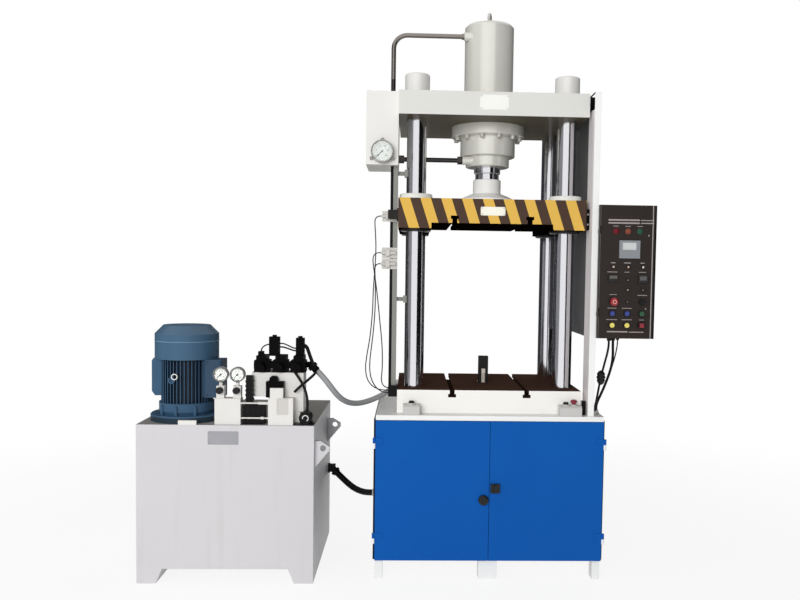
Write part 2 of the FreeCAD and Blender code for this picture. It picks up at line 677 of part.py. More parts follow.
def pressure_pipes():
    """Two bent steel pipes from the cylinder's ports to the gauge box, with their union nuts."""
    y = -SIZES["pipe_y"]
    start = -SIZES["port_x"]
    side = -SIZES["crown_width"] / 2
    nut = SIZES["pipe_nut_length"]
    high = [(start, y, PIPE_HIGH.number), (-SIZES["pipe_x"], y, PIPE_HIGH.number),
            (-SIZES["pipe_x"], y, CROWN_HIGH.number)]
    upper = tube("upper_pipe", high, SIZES["pipe_radius"], (as_size(0), as_size(0)), SIZES["pipe_bend"])
    nuts = [hexagon(S.barrel_nut, (start - S.barrel_nut_length, y, PIPE_HIGH), S.barrel_nut_length, "X"),
            hexagon(S.pipe_nut, (-S.pipe_x, y, CROWN_HIGH), nut)]
    lower = rod(S.pipe_radius, (side, y, PIPE_LOW), as_size(start) - side, "X")
    ends = [hexagon(S.pipe_nut, (side, y, PIPE_LOW), nut, "X"),
            hexagon(S.pipe_nut, (start - nut, y, PIPE_LOW), nut, "X")]
    node("pressure_pipes", group([fuse([upper] + nuts), fuse([lower] + ends)]))


# ---------------------------------------------------------------- switch bar
BAR_LEFT = -BAR_X - S.bar_side
BAR_FRONT = -S.bar_y - S.bar_side
SENSOR_Y = BAR_FRONT - S.sensor_plate - S.sensor_radius
SENSORS = (1640, 1474, 1424)


def switch_bar():
    """A square tube beside the frame on two short arms, whose saddles are screwed to the front column."""
    wall = S.bar_wall
    bar = block((BAR_LEFT, -BAR_X), (BAR_FRONT, -S.bar_y), (BAR_LOW, BOX_LOW))
    inside = block((BAR_LEFT + wall, -BAR_X - wall), (BAR_FRONT + wall, -S.bar_y - wall),
                   (BAR_LOW - 1, BOX_LOW + 1))
    pieces = [cut(bar, [inside])]
    skin = -S.column_x - S.column_radius
    middle_y = -S.column_y
    for low in (S.arm_low, S.arm_high):
        arm = block((-BAR_X, skin - S.saddle_thick + 2), (middle_y - S.arm_thick, middle_y),
                    (low, low + S.arm_height))
        rise = (S.saddle_height - S.arm_height) / 2
        saddle = block((skin - S.saddle_thick, skin + 6),
                       (middle_y - S.saddle_width / 2, middle_y + S.saddle_width / 2),
                       (low - rise, low + S.arm_height + rise))
        screws = [rod(5, (skin - S.saddle_thick - 5, middle_y + side * 16, low + S.arm_height / 2), 8, "X")
                  for side in (-1, 1)]
        seat = rod(S.column_radius + S.fit_gap, (-S.column_x, middle_y, low - rise - 1), S.saddle_height + 2)
        pieces.append(cut(fuse([arm, saddle] + screws), [seat]))
    node("switch_bar", group(pieces))


def limit_switches():
    """Three round proximity sensors clamped on plates on the bar, and the bar's foot block."""
    pieces = []
    for z in SENSORS:
        left = BAR_LEFT - S.sensor_reach
        barrel = rod(S.sensor_radius, (left, SENSOR_Y, z), S.sensor_length, "X")
        plate = block((left - 2, -BAR_X), (BAR_FRONT - S.sensor_plate, BAR_FRONT), (z - 24, z + 24))
        clamp = block((BAR_LEFT - 18, BAR_LEFT), (SENSOR_Y - 13, BAR_FRONT - S.sensor_plate),
                      (z - S.sensor_clamp, z + S.sensor_clamp))
        cable_end = rod(S.sensor_radius * 0.6, (left - 8, SENSOR_Y, z), 8, "X")
        pieces.append(fuse([barrel, plate, clamp, cable_end]))
    foot = block((BAR_LEFT, -BED_SIDE), (BAR_FRONT - 20, -S.bar_y + 8), (BAR_LOW - S.foot_height, BAR_LOW))
    node("limit_switches", group([fuse(pieces), foot]))


def trip_dog():
    """The flag on the platen's left edge that passes in front of the sensors."""
    face = -PLATEN_SIDE
    low = PLATEN_LOW + S.dog_rise
    high = low + S.dog_height
    front = -300
    base = block((face - S.dog_thick, face), (front, front + 43), (low, high))
    flag = block((face - S.dog_reach, face), (front - S.dog_thick, front), (low + 8, high - 8))
    node("trip_dog", fuse([base, flag]))


# ---------------------------------------------------------------- duct post, guard
def duct_post():
    """A closed sheet duct for the wiring: a slot down its inner side, a cut mouth above it, and ties."""
    sheet_size = S.duct_sheet
    left, right = DUCT_X, DUCT_X + S.duct_width
    front, back = -S.duct_front, -S.duct_front + S.duct_depth
    outside = block((left, right), (front, back), (S.cabinet_top, CROWN_HIGH))
    hollow = block((left + sheet_size, right - sheet_size), (front + sheet_size, back - sheet_size),
                   (S.cabinet_top + 6, CROWN_HIGH + 1))
    mouth_low = CROWN_HIGH - S.duct_mouth
    slot_front = front + S.duct_slot_inset
    slot = block((left - 1, left + sheet_size + 1), (slot_front, slot_front + S.duct_slot),
                 (mouth_low - S.duct_slot_length, mouth_low + 1))
    mouth_top = CROWN_HIGH - 6
    mouth_form = [(front + sheet_size, mouth_low - 6), (back - 14, mouth_low), (back - 14, mouth_top - 20),
                  (back - 44, mouth_top), (front + sheet_size, mouth_top)]
    mouth = pad("YZ_Plane", mouth_form, 2 * sheet_size + 2, (left, 0, 0))
    ties = [block((CROWN_SIDE, left), (back - 16, back - 4), (z, z + 30))
            for z in (CROWN_LOW + 10, CROWN_LOW + 65)]
    node("duct_post", fuse([cut(outside, [hollow, slot, mouth])] + ties))


def side_guard():
    """A plain sheet hung outside the right-hand columns from the crown's edge."""
    right = CONTROL_LEFT - S.duct_sheet
    panel = block((right - S.guard_sheet, right), (-S.duct_front + S.duct_depth + 5, S.guard_back),
                  (S.guard_low, CROWN_HIGH - S.guard_drop))
    ties = [block((CROWN_SIDE, right - 1), (y, y + 40), (CROWN_LOW + 20, CROWN_LOW + 50))
            for y in (-150, 110)]
    node("side_guard", fuse([panel] + ties))


# ---------------------------------------------------------------- control box
CONTROL_RIGHT = CONTROL_LEFT + S.control_width
CONTROL_HINGE = (CONTROL_LEFT - 1, CONTROL_FACE - 2)
PANEL_X = CONTROL_LEFT + 2 + S.control_door_width / 2
CONTROL_HINGES = (S.control_low + S.control_hinge, S.control_high - S.control_hinge - 28)


def control_box():
    shell = tray((CONTROL_LEFT, CONTROL_RIGHT), (-S.control_front, -S.control_front + S.control_depth),
                 (S.control_low, S.control_high), S.control_sheet, "-y")
    glands = []
    for x, y, radius in PANEL_GLANDS:
        glands.append(rod(radius + 4, (x, y, S.control_low - 16), 16))
        glands.append(hexagon(radius + 8, (x, y, S.control_low - 6), 6))
    x, y = CONTROL_HINGE
    for z in CONTROL_HINGES:
        glands.append(rod(4, (x, y, z), 18))
        glands.append(rod(2, (x, y, z), 36))
        glands.append(block((x - 3, x + 1), (y, -S.control_front + 12), (z, z + 18)))
    node("control_box", fuse([shell] + glands))


PANEL_GLANDS = ((566, -300, 6), (540, -330, 5), (592, -280, 3))


def control_door():
    """A pan of folded sheet hinged on its left edge."""
    left = CONTROL_LEFT + 2
    pan = tray((left, left + S.control_door_width), (CONTROL_FACE, -S.control_front - 1),
               (S.control_low + 2, S.control_high - 2), S.control_sheet, "+y")
    x, y = CONTROL_HINGE
    knuckles = []
    bores = []
    gaps = []
    for z in CONTROL_HINGES:
        knuckles.append(rod(4, (x, y, z + 18.5), 17))
        knuckles.append(block((x, left + 14), (CONTROL_FACE - 2, CONTROL_FACE), (z + 18.5, z + 35.5)))
        bores.append(rod(2 + S.shaft_gap, (x, y, z + 17), 20))
        gaps.append(rod(4 + S.fit_gap * 3, (x, y, z - 1), 19.5))
    node("control_door", cut(fuse([pan] + knuckles), bores + gaps))


def ring_bezel(x, z, radius, height, bore):
    """The fixed collar of a push button or lamp on the panel's face."""
    body = rod(radius, (x, CONTROL_FACE - height, z), height, "Y")
    return cut(body, [rod(bore, (x, CONTROL_FACE - height - 1, z), height + 2, "Y")])


# Rows of the panel, up from the box's lower edge.
ROW_YELLOW = S.control_low + S.row_yellow
ROW_BLUE = ROW_YELLOW + S.row_step
ROW_STOP = ROW_BLUE + S.row_step
ROW_LAMPS = S.control_low + S.row_lamps
ROW_DISPLAY = ROW_LAMPS - S.display_drop
ROW_TIMER = ROW_STOP + S.timer_rise
BUTTONS = {
    "button_blue_left": (-1, ROW_BLUE), "button_blue_right": (0, ROW_BLUE), "button_green": (1, ROW_BLUE),
    "button_yellow_left": (-1, ROW_YELLOW), "button_yellow_right": (0, ROW_YELLOW),
    "button_red": (1, ROW_YELLOW),
}


def panel_x(column):
    return PANEL_X + 3 + column * S.panel_pitch


def panel_buttons():
    for label, (column, z) in BUTTONS.items():
        x = panel_x(column)
        low = CONTROL_FACE - S.bezel_height - S.button_height
        if label == "button_red":
            half = S.button_radius - 1
            cap = block((x - half, x + half), (low, low + S.button_height), (z - half, z + half))
            node(label, cap)
            continue
        cap = turned([(0, 0), (S.button_radius - 2, 0), (S.button_radius, 2),
                      (S.button_radius, S.button_height), (0, S.button_height)], (x, low, z), "Y")
        node(label, cap)
    stop_x = panel_x(-1) + 5
    radius = S.stop_radius
    head = turned([(0, 0), (radius - 7, 0), (radius - 1, 4), (radius, 8), (radius - 1, 11), (9, 13), (9, 24),
                   (0, 24)], (stop_x, CONTROL_FACE - 30, ROW_STOP), "Y")
    node("emergency_stop", head)
    x = panel_x(1)
    knob = turned([(0, 0), (8, 0), (11, 3), (11, 14), (0, 14)], (x, CONTROL_FACE - 20, ROW_STOP), "Y")
    grip = block((x - 3.5, x + 3.5), (CONTROL_FACE - 27, CONTROL_FACE - 16),
                 (ROW_STOP - 10.5, ROW_STOP + 10.5))
    node("selector_switch", fuse([knob, grip]))


def panel_instruments():
    """The fixed things on the panel: lamps, display, timer, counter, small modules and collars."""
    face = CONTROL_FACE
    pieces = []
    for column in (-1, 0, 1):
        lamp = [(0, 0), (6, 1), (9, 5), (9, 8), (13, 9), (13, 14), (0, 14)]
        pieces.append(turned(lamp, (PANEL_X + column * S.lamp_pitch, face - 14, ROW_LAMPS), "Y"))
    low = ROW_DISPLAY
    pieces.append(cut(block((PANEL_X - 38, PANEL_X + 54), (face - 9, face), (low, low + S.display_height)),
                      [block((PANEL_X - 24, PANEL_X + 36), (face - 10, face - 6), (low + 38, low + 69))]))
    low = ROW_TIMER
    pieces.append(block((PANEL_X - 84, PANEL_X - 40), (face - 10, face), (low, low + 30)))
    pieces.append(cut(block((PANEL_X + 50, PANEL_X + 92), (face - 10, face), (low - 3, low + 32)),
                      [block((PANEL_X + 56, PANEL_X + 86), (face - 11, face - 8), (low + 8, low + 26))]))
    modules = ((-62, ROW_TIMER + 66), (4, ROW_TIMER + 66), (70, ROW_TIMER + 66), (4, ROW_TIMER + 8),
               (4, ROW_STOP + S.row_step + 1), (72, ROW_STOP + S.row_step + 1), (4, ROW_STOP))
    for x, z in modules:
        pieces.append(turned([(0, 0), (7, 0), (8, 1), (8, 7), (0, 7)], (PANEL_X + x, face - 7, z), "Y"))
    for label, (column, z) in BUTTONS.items():
        outer, bore = (18, as_size(14.2)) if label == "button_red" else (S.bezel_radius, S.button_radius)
        pieces.append(ring_bezel(panel_x(column), z, outer, S.bezel_height + 4, bore + S.fit_gap))
    pieces.append(ring_bezel(panel_x(-1) + 5, ROW_STOP, as_size(17), as_size(10), 9 + S.fit_gap))
    pieces.append(ring_bezel(panel_x(1), ROW_STOP, S.bezel_radius, as_size(10), 11 + S.fit_gap))
    node("panel_instruments", group(pieces))


# ---------------------------------------------------------------- two-hand stations
def station(x_low, x_high, buttons):
    """A sheet pedestal on the cabinet's ledge with button collars on its sloping lid."""
    front = -S.station_y - S.station_depth / 2
    back = -S.station_y + S.station_depth / 2
    width = x_high - x_low
    body = pad("YZ_Plane", [(front, S.cabinet_top), (front, STATION_HIGH - 8), (front + 8, STATION_HIGH),
                            (back, STATION_HIGH), (back, S.cabinet_top)], width, (x_low + width / 2, 0, 0))
    collars = []
    bores = []
    for x, radius in buttons:
        collars.append(rod(radius + 5, (x, -S.station_y, STATION_HIGH), 6))
        bores.append(rod(radius + S.fit_gap, (x, -S.station_y, STATION_HIGH), 8))
    return cut(fuse([body] + collars), bores)


def stations():
    left = station(-S.station_left, -S.station_left + S.station_narrow, [(-S.palm_left, S.palm_radius)])
    right = station(S.station_right, S.station_right + S.station_wide,
                    [(S.palm_right, S.palm_radius), (S.station_stop_x, S.stop_stem)])
    junction = block((S.junction_x, S.junction_x + S.junction_side), (-352, -328),
                     (S.cabinet_top, S.cabinet_top + S.junction_height))
    node("station_housings", group([left, right, junction]))
    low = STATION_HIGH + S.button_travel + 1
    for label, x in (("palm_button_left", -S.palm_left), ("palm_button_right", S.palm_right)):
        profile = [(0, 0), (S.palm_radius, 0), (S.palm_radius, 9), (S.palm_radius - 2, 11), (0, 12)]
        node(label, turned(profile, (x, -S.station_y, low)))
    stem = S.stop_stem
    mushroom = [(0, 0), (stem, 0), (stem, 8), (stem + 6, 10), (stem + 7, 14), (stem + 5, 19), (stem - 1, 22),
                (0, 23)]
    node("station_stop", turned(mushroom, (S.station_stop_x, -S.station_y, low)))


# ---------------------------------------------------------------- power pack
TANK_HALF = S.tank_width / 2
TANK_FRONT = -S.tank_depth / 2
MOTOR = (S.motor_x, S.motor_y)
LID = S.tank_high
FRAME_HIGH = LID + S.frame_rise
COWL_HIGH = LID + S.cowl_rise
DIAL_Z = LID + S.dial_rise
VALVE_Z = LID + S.valve_rise


def tank():
    """A welded tank on two skids, its front and back cut away between them, with two lifting lugs."""
    foot = TANK_HALF - S.tank_foot
    top = foot - S.tank_slope
    points = [(-TANK_HALF, S.tank_high), (-TANK_HALF, 0), (-foot, 0), (-top, S.tank_leg), (top, S.tank_leg),
              (foot, 0), (TANK_HALF, 0), (TANK_HALF, S.tank_high)]
    shell = pad("XZ_Plane", points, S.tank_depth)
    inside = block((-TANK_HALF + S.tank_sheet, TANK_HALF - S.tank_sheet),
                   (TANK_FRONT + S.tank_sheet, -TANK_FRONT - S.tank_sheet),
                   (S.tank_leg + S.tank_sheet, S.tank_high - S.tank_sheet))
    lugs = []
    for y in (-341, 249):
        low = LID - S.lug_drop
        high = low + S.lug_height
        reach = TANK_HALF + S.lug_reach
        plate = pad("XZ_Plane", [(TANK_HALF, low), (reach, high - 42), (reach, high - 24),
                                 (TANK_HALF + 28, high), (TANK_HALF, high)], S.lug_thick, (0, y, 0))
        hole = rod(S.lug_hole, (TANK_HALF + 37, y - 20, high - 32), 40, "Y")
        lugs.append(cut(plate, [hole]))
    node("tank", group([cut(shell, [inside])] + lugs), PACK)


def motor():
    """The motor's frame with its cooling fins, foot flange, end shield and terminal boxes."""
    x, y = MOTOR
    flange_top = S.tank_high + S.motor_flange_thick
    shield_top = flange_top + S.shield_height
    bore = S.shaft_radius + S.shaft_gap
    profile = [(bore, S.tank_high), (S.motor_flange, S.tank_high), (S.motor_flange, flange_top - 4),
               (S.motor_flange - 4, flange_top), (S.shield_radius - 8, flange_top),
               (S.shield_radius, flange_top + 14),
               (S.shield_radius, shield_top), (S.frame_radius, shield_top), (S.frame_radius, FRAME_HIGH),
               (bore, FRAME_HIGH)]
    body = doc.addObject("PartDesign::Body", "motor_body_form")
    sketch = outline(body, "XZ_Plane", profile)
    solid = body.newObject("PartDesign::Revolution", "motor_turned")
    solid.Profile = sketch
    solid.ReferenceAxis = (sketch, ["V_Axis"])
    solid.Angle = 360
    half = S.fin_thick / 2
    root = S.frame_radius - 2
    tip = S.frame_radius + S.fin_height
    fin_sketch = outline(body, "XZ_Plane", [(root, shield_top), (tip, shield_top), (tip, FRAME_HIGH - 6),
                                            (root, FRAME_HIGH - 6)])
    fin = body.newObject("PartDesign::Pad", "fin")
    fin.Profile = fin_sketch
    fin.Midplane = True
    bind(fin, "Length", half * 2)
    doc.recompute()
    fins = body.newObject("PartDesign::PolarPattern", "fins")
    fins.Originals = [fin]
    fins.Axis = (sketch, ["V_Axis"])
    fins.Angle = 360
    fins.Occurrences = SIZES["fin_count"]
    body.Tip = fins
    put(body, (x, y, 0))
    node("motor_body", fuse([body] + motor_boxes(x, y)), PACK)


def motor_boxes(x, y):
    """The terminal box at the motor's front right, a flat box on its left, screws and a ring plate."""
    low = S.tank_high + S.motor_flange_thick + S.shield_height + 27
    high = FRAME_HIGH
    face = y - S.frame_radius + 9
    terminal = pad("XY_Plane", [(x + 84, face + 17), (x + 104, face), (x + 172, face), (x + 179, face + 7),
                                (x + 179, y + 8), (x + 60, y + 8)], high - low, (0, 0, (low + high) / 2))
    left = pad("XZ_Plane", [(x - 150, low + 20), (x - 150, high - 12), (x - 142, high), (x - 68, high),
                            (x - 68, low), (x - 136, low)], 68, (0, y, 0))
    screws = [hexagon(5, (x + dx, face - 4, z), 6, "Y") for dx in (110, 166) for z in (low + 12, high - 12)]
    rib_face = y - S.frame_radius - S.fin_height
    eye_z = (low + high) / 2 - 7
    eye = cut(rod(15, (x - 40, rib_face - 2, eye_z), 22, "Y"),
              [rod(9, (x - 40, rib_face - 3, eye_z), 9, "Y")])
    shield_low = S.tank_high + S.motor_flange_thick
    bosses = []
    for angle in (225, 262, 300):
        reach = S.shield_radius + 2
        boss_x = x + reach * math.cos(math.radians(angle))
        boss_y = y + reach * math.sin(math.radians(angle))
        bosses.append(rod(8, (boss_x, boss_y, shield_low - 4), S.shield_height - 10))
        bosses.append(hexagon(6, (boss_x, boss_y, shield_low + S.shield_height - 15), 7))
    return [terminal, left, eye] + screws + bosses


def motor_cowl():
    """The fan cowl: a spun sheet cap with slots in its top, slipped over the frame's end."""
    x, y = MOTOR
    out = S.cowl_radius
    inner = out - S.cowl_sheet
    shoulder = COWL_HIGH - S.cowl_bevel
    low = FRAME_HIGH
    profile = [(S.frame_radius - 6, low + S.cowl_sheet), (S.frame_radius - 6, low), (out, low),
               (out, shoulder),
               (S.cowl_top, COWL_HIGH), (0, COWL_HIGH), (0, COWL_HIGH - S.cowl_sheet),
               (S.cowl_top - 1, COWL_HIGH - S.cowl_sheet), (inner, shoulder - 1), (inner, low + S.cowl_sheet)]
    cap = turned(profile, (x, y, 0))
    grille = []
    for step in range(-4, 5):
        half = math.sqrt(88 ** 2 - (step * 18) ** 2)
        grille.append(block((x - half, x + half), (y + step * 18 - 4, y + step * 18 + 4),
                            (COWL_HIGH - 10, COWL_HIGH + 1)))
    node("motor_cowl", cut(cap, grille), PACK)


def motor_rotor():
    """The shaft with its fan, which blows down over the fins."""
    x, y = MOTOR
    base = FRAME_HIGH + 24
    top = base + S.fan_height
    shaft = turned([(0, S.tank_high + 2), (S.shaft_radius, S.tank_high + 2), (S.shaft_radius, top + 8),
                    (S.shaft_radius - 2, top + 10), (0, top + 10)], (x, y, 0))
    hub = turned([(S.shaft_radius - 2, base), (38, base), (30, top), (S.shaft_radius - 2, top)], (x, y, 0))
    blades = []
    for step in range(SIZES["fan_count"]):
        blade = block((0, S.fan_radius), (-2, 2), (base, top))
        put(blade, (x, y, base), Rotation(Vector(0, 0, 1), 360 / SIZES["fan_count"] * step))
        blades.append(blade)
    node("motor_rotor", fuse([shaft, hub] + blades), PACK)


# Faces of the blocks on the tank's lid, from the front, and heights up from the lid.
BLOCK_RIGHT = as_size(64)
MANIFOLD_FACE = -S.manifold_front
MANIFOLD_BACK = -S.manifold_back
MANIFOLD_TOP_FACE = MANIFOLD_BACK - 100
VALVE_FACE = MANIFOLD_FACE + 18
MANIFOLD_LOW = LID + S.manifold_low
MANIFOLD_HIGH = MANIFOLD_LOW + S.manifold_height


def gauge_block():
    """A white block on the tank's front edge with two shut-off valves and two gauges above."""
    face = as_size(6) - S.gauge_front
    high = LID + S.gauge_base
    base = block((-49, BLOCK_RIGHT), (face, face + 54), (LID, high))
    pieces = [base]
    for x in (S.dial_left, S.dial_right):
        pieces.append(block((x - 17, x + 17), (face + 8, face + 42), (high - 2, VALVE_Z + 18)))
        pieces.append(rod(8, (x, face + 24, VALVE_Z + 12), 32))
        pieces.append(rod(10, (x, face + 4, VALVE_Z), 12, "Y"))
        pieces.append(rod(4, (x, face - 6, VALVE_Z), 12, "Y"))
        pieces.append(plain_case(S.dial_radius, S.dial_depth, (x, face + 8, DIAL_Z)))
    node("gauge_block", fuse(pieces), PACK)
    for label, x in (("gauge_valve_left", S.dial_left), ("gauge_valve_right", S.dial_right)):
        knob = turned([(0, 0), (S.knob_radius - 3, 0), (S.knob_radius, 3), (S.knob_radius, S.knob_depth - 3),
                       (S.knob_radius - 3, S.knob_depth), (0, S.knob_depth)],
                      (x, face - S.knob_depth + 3, VALVE_Z), "Y")
        node(label, cut(knob, [rod(4 + S.shaft_gap, (x, face - 6 - S.fit_gap, VALVE_Z), 20, "Y")]), PACK)
    for label, x in (("pack_needle_left", S.dial_left), ("pack_needle_right", S.dial_right)):
        needle(label, SIZES["dial_radius"], (x, face + 8, DIAL_Z), PACK)


def valve_manifold():
    """The white steel manifold: a stepped pedestal, a wide block on it and two thin pipes beside it."""
    pedestal = cut(block((185, 294), (MANIFOLD_FACE, MANIFOLD_BACK), (LID, MANIFOLD_LOW)),
                   [block((224, 272), (MANIFOLD_FACE - 1, MANIFOLD_FACE + 2), (LID + 47, MANIFOLD_LOW - 6))])
    cap = block((193, 250), (MANIFOLD_FACE, VALVE_FACE), (MANIFOLD_LOW, MANIFOLD_LOW + 44))
    shoulder = block((292, 333), (-319, -225), (LID + 54, MANIFOLD_LOW))
    post = block((292, 318), (-316, -240), (LID, LID + 56))
    top = block((105, 333), (MANIFOLD_TOP_FACE, MANIFOLD_BACK), (MANIFOLD_LOW, MANIFOLD_HIGH))
    pipes = []
    for z, union_x, union_length in ((LID + 96, 140, 44), (LID + 30, 152, 14)):
        pipes.append(rod(S.pipe_thin, (BLOCK_RIGHT, MANIFOLD_FACE + 9, z), 186 - BLOCK_RIGHT, "X"))
        pipes.append(rod(S.union_radius, (union_x, MANIFOLD_FACE + 9, z), union_length, "X"))
    node("valve_manifold", fuse([pedestal, cap, shoulder, post, top] + pipes), PACK)


def solenoid_valves():
    """Directional valves on top of the manifold with their coils and connector towers."""
    base = MANIFOLD_HIGH
    middle_y = as_size(-271)
    bank = []
    for low in (112, 192, 272):
        bank.append(block((low, low + 66), (middle_y - 40, middle_y + 40), (base, base + 52)))
    for low in (123, 207, 287):
        bank.append(block((low, low + 44), (middle_y - 48, middle_y + 48), (base + 50, base + 74)))
    for x_low, x_high, rise in ((176, 221, 157), (295, 331, 153)):
        bank.append(block((x_low, x_high), (-300, -262), (base + 72, base + rise)))
        bank.append(rod(10, ((x_low + x_high) / 2, -281, base + rise - 2), 10))
    bridge = block((110, 340), (middle_y - 34, middle_y + 34), (base + 17, base + 42))
    coils = []
    for x in (145, 225, 305):
        for start in (middle_y - 40 - S.coil_length, middle_y + 40):
            coils.append(rod(S.coil_radius, (x, start, base + 24), S.coil_length, "Y"))
    gland_z = base + 29
    bank.append(rod(14, (340, -241, gland_z), 22, "X"))
    slant = Rotation(Vector(0, 1, 0), 135)
    tip = 28 * math.sqrt(2)
    for profile in ([(0, -14), (17, -14), (17, tip), (0, tip)], [(17, 4), (23, 4), (23, 20), (17, 20)]):
        bank.append(put(turned(profile), (356, -241, gland_z), slant))
    bank.append(block((128, 150), (-300, -262), (base + 72, base + 91)))
    low = MANIFOLD_LOW
    front = fuse([block((172, 250), (VALVE_FACE, MANIFOLD_TOP_FACE), (low, low + 71)),
                  pad("XZ_Plane", [(184, low + 70), (188, low + 88), (194, low + 94), (216, low + 94),
                                   (221, low + 88), (226, low + 70)], 25, (0, MANIFOLD_TOP_FACE - 12.5, 0))])
    node("solenoid_valves", group([fuse(bank + [bridge] + coils), front]), PACK)


def pack_fittings():
    """The ribbed pressure switch, the filler with its ring, and the hose fitting on the tank's side."""
    ribs = [block((84, 114), (-349, -324), (LID + 82, LID + 216))]
    for step in range(5):
        low = LID + 106 + step * 20
        ribs.append(block((82, 117), (-352, -322), (low, low + 8)))
    ribs.append(block((72, 165), (-351, -291), (LID, LID + 85)))
    for step in range(4):
        low = 76 + step * 22
        ribs.append(block((low, low + 8), (-354, -288), (LID + 6, LID + 78)))
    link = rod(7, (163, -341, LID + 39), 9, "X")
    ring = turned([(0, 0), (10, 0), (10, 4), (19, 4), (19, 0), (27, 0), (29, 3), (29, 50), (0, 50)],
                  (348, -371, LID + 32), "Y")
    ring_seat = block((322, 374), (-340, -300), (LID, LID + 32))
    stub = put(turned([(0, 0), (17, 0), (17, 20), (24, 20), (24, 32), (19, 32), (19, 28 * math.sqrt(2)),
                       (0, 28 * math.sqrt(2))]), (405, 306, 362), Rotation(Vector(0, 1, 0), 135))
    foot = rod(26, (TANK_HALF, 306, 362), 8, "X")
    elbow = fuse([foot, block((TANK_HALF + 6, 423), (287, 325), (344, 380)), stub])
    level_plate = block((-205, -126), (TANK_FRONT, TANK_FRONT + 14), (LID, LID + 19))
    node("pack_fittings", group([fuse(ribs + [link]), fuse([ring, ring_seat]), elbow, level_plate]), PACK)


# ---------------------------------------------------------------- press fittings, cords
CABLE_ENDS = ((496, -300, 6), (482, -340, 5), (500, -250, 3))


def press_fittings():
    """The glands where the conduit, the hose and the panel's cables enter the press."""
    conduit = fuse([block((-BED_SIDE - 48, -BED_SIDE), (150, 196), (788, 836)),
                    turned([(0, 0), (17, 0), (17, 12), (22, 12), (22, 22), (0, 22)], (-446, 130, 812), "Y")])
    side = S.cabinet_half + S.cover_sheet
    hose = turned([(0, 0), (19, 0), (19, 22), (30, 22), (30, 30), (0, 30)], (-side - 30, 224, 238), "X")
    tops = [turned([(0, 0), (r + 8, 0), (r + 8, 6), (r + 4, 8), (r + 4, 18), (0, 18)], (x, y, S.cabinet_top))
            for x, y, r in CABLE_ENDS]
    node("press_fittings", group([conduit, hose] + tops))


# The free cords: routes in the press's own place, chosen by hand.
CONDUIT = [(-784, -300, 934), (-756, -300, 906), (-728, -292, 868), (-701, -268, 826),
           (-672, -230, 790), (-640, -182, 769), (-603, -130, 760), (-562, -80, 764),
           (-520, -34, 775), (-484, 6, 791), (-458, 46, 806), (-446, 88, 812), (-446, 130, 812)]
HOSE = [(-735, 247, 334), (-716, 247, 315), (-696, 245, 296.5), (-675.5, 241.5, 279),
        (-654, 236, 263.5), (-630.5, 231, 251), (-605, 226.5, 242.5), (-578, 224, 238),
        (-551, 224, 238)]
SENSOR_WIRES = {
    "wire_top": [
        (-504, -265, 1640), (-514, -265, 1640), (-523, -265, 1635), (-529, -266, 1627),
        (-531, -268, 1615), (-530, -270, 1594), (-527, -274, 1556), (-524, -278, 1498),
        (-526, -280, 1430), (-531, -279, 1360), (-535, -278, 1290), (-536, -277, 1220),
        (-541, -276, 1150), (-548, -274, 1080), (-560, -272, 1012), (-568, -270, 950),
        (-561, -269, 898), (-540, -268, 866), (-513, -267, 850), (-487, -266, 844), (-462, -266, 844)],
    "wire_middle": [
        (-504, -265, 1474), (-516, -265, 1474), (-528, -263, 1469), (-536, -260, 1458),
        (-539, -256, 1442), (-536, -253, 1412), (-528, -251, 1360), (-519, -251, 1296),
        (-511, -251, 1228), (-504, -251, 1158), (-496, -251, 1090), (-491, -251, 1022),
        (-490, -251, 960), (-492, -251, 920), (-494, -252, 898), (-493, -252, 882),
        (-489, -252, 870), (-481, -252, 860), (-472, -252, 855), (-462, -252, 855)],
    "wire_low": [
        (-504, -265, 1424), (-512, -265, 1424), (-521, -265, 1420), (-527, -264, 1412),
        (-529, -263, 1400), (-528, -262, 1376), (-526, -261, 1328), (-525, -260, 1264),
        (-527, -259, 1194), (-532, -258, 1124), (-539, -257, 1056), (-547, -256, 992),
        (-549, -255, 936), (-540, -254, 890), (-521, -253, 857), (-500, -252, 839),
        (-480, -251, 831), (-462, -251, 831)],
}
PANEL_CABLES = {
    "cable_main": (6, [
        (566, -300, 1089), (566, -300, 1062), (568, -300, 1022), (563, -300, 970), (546, -300, 914),
        (526, -300, 862), (511, -300, 828), (500.5, -300, 804), (496, -300, 786), (496, -300, 768)]),
    "cable_second": (5, [
        (540, -330, 1089), (540, -330, 1068), (535, -330, 1034), (522, -331, 984), (507, -333, 924),
        (496, -336, 864), (488, -338, 818), (482, -340, 789), (482, -340, 768)]),
    "cable_thin": (3, [
        (592, -280, 1089), (592, -280, 1074), (590, -279, 1051), (583, -276, 1010), (571, -273, 964),
        (559, -270, 922), (545, -267, 882), (531, -263, 850), (518, -259, 824), (506, -254, 803),
        (500, -250, 785), (500, -250, 768)]),
}


def cords():
    node_from("conduit", [tube("conduit", CONDUIT, SIZES["conduit_radius"], PRESS)])
    node_from("oil_hose", [tube("oil_hose", HOSE, SIZES["hose_radius"], PRESS)])
    node_from("sensor_cables", [tube(name, route, SIZES["wire_radius"], PRESS)
                                for name, route in SENSOR_WIRES.items()])
    node_from("panel_cables", [tube(name, route, radius, PRESS)
                               for name, (radius, route) in PANEL_CABLES.items()])


def node_from(label, tubes):
    thing = tubes[0] if len(tubes) == 1 else group(tubes)
    thing.Label = label
    nodes[label] = thing


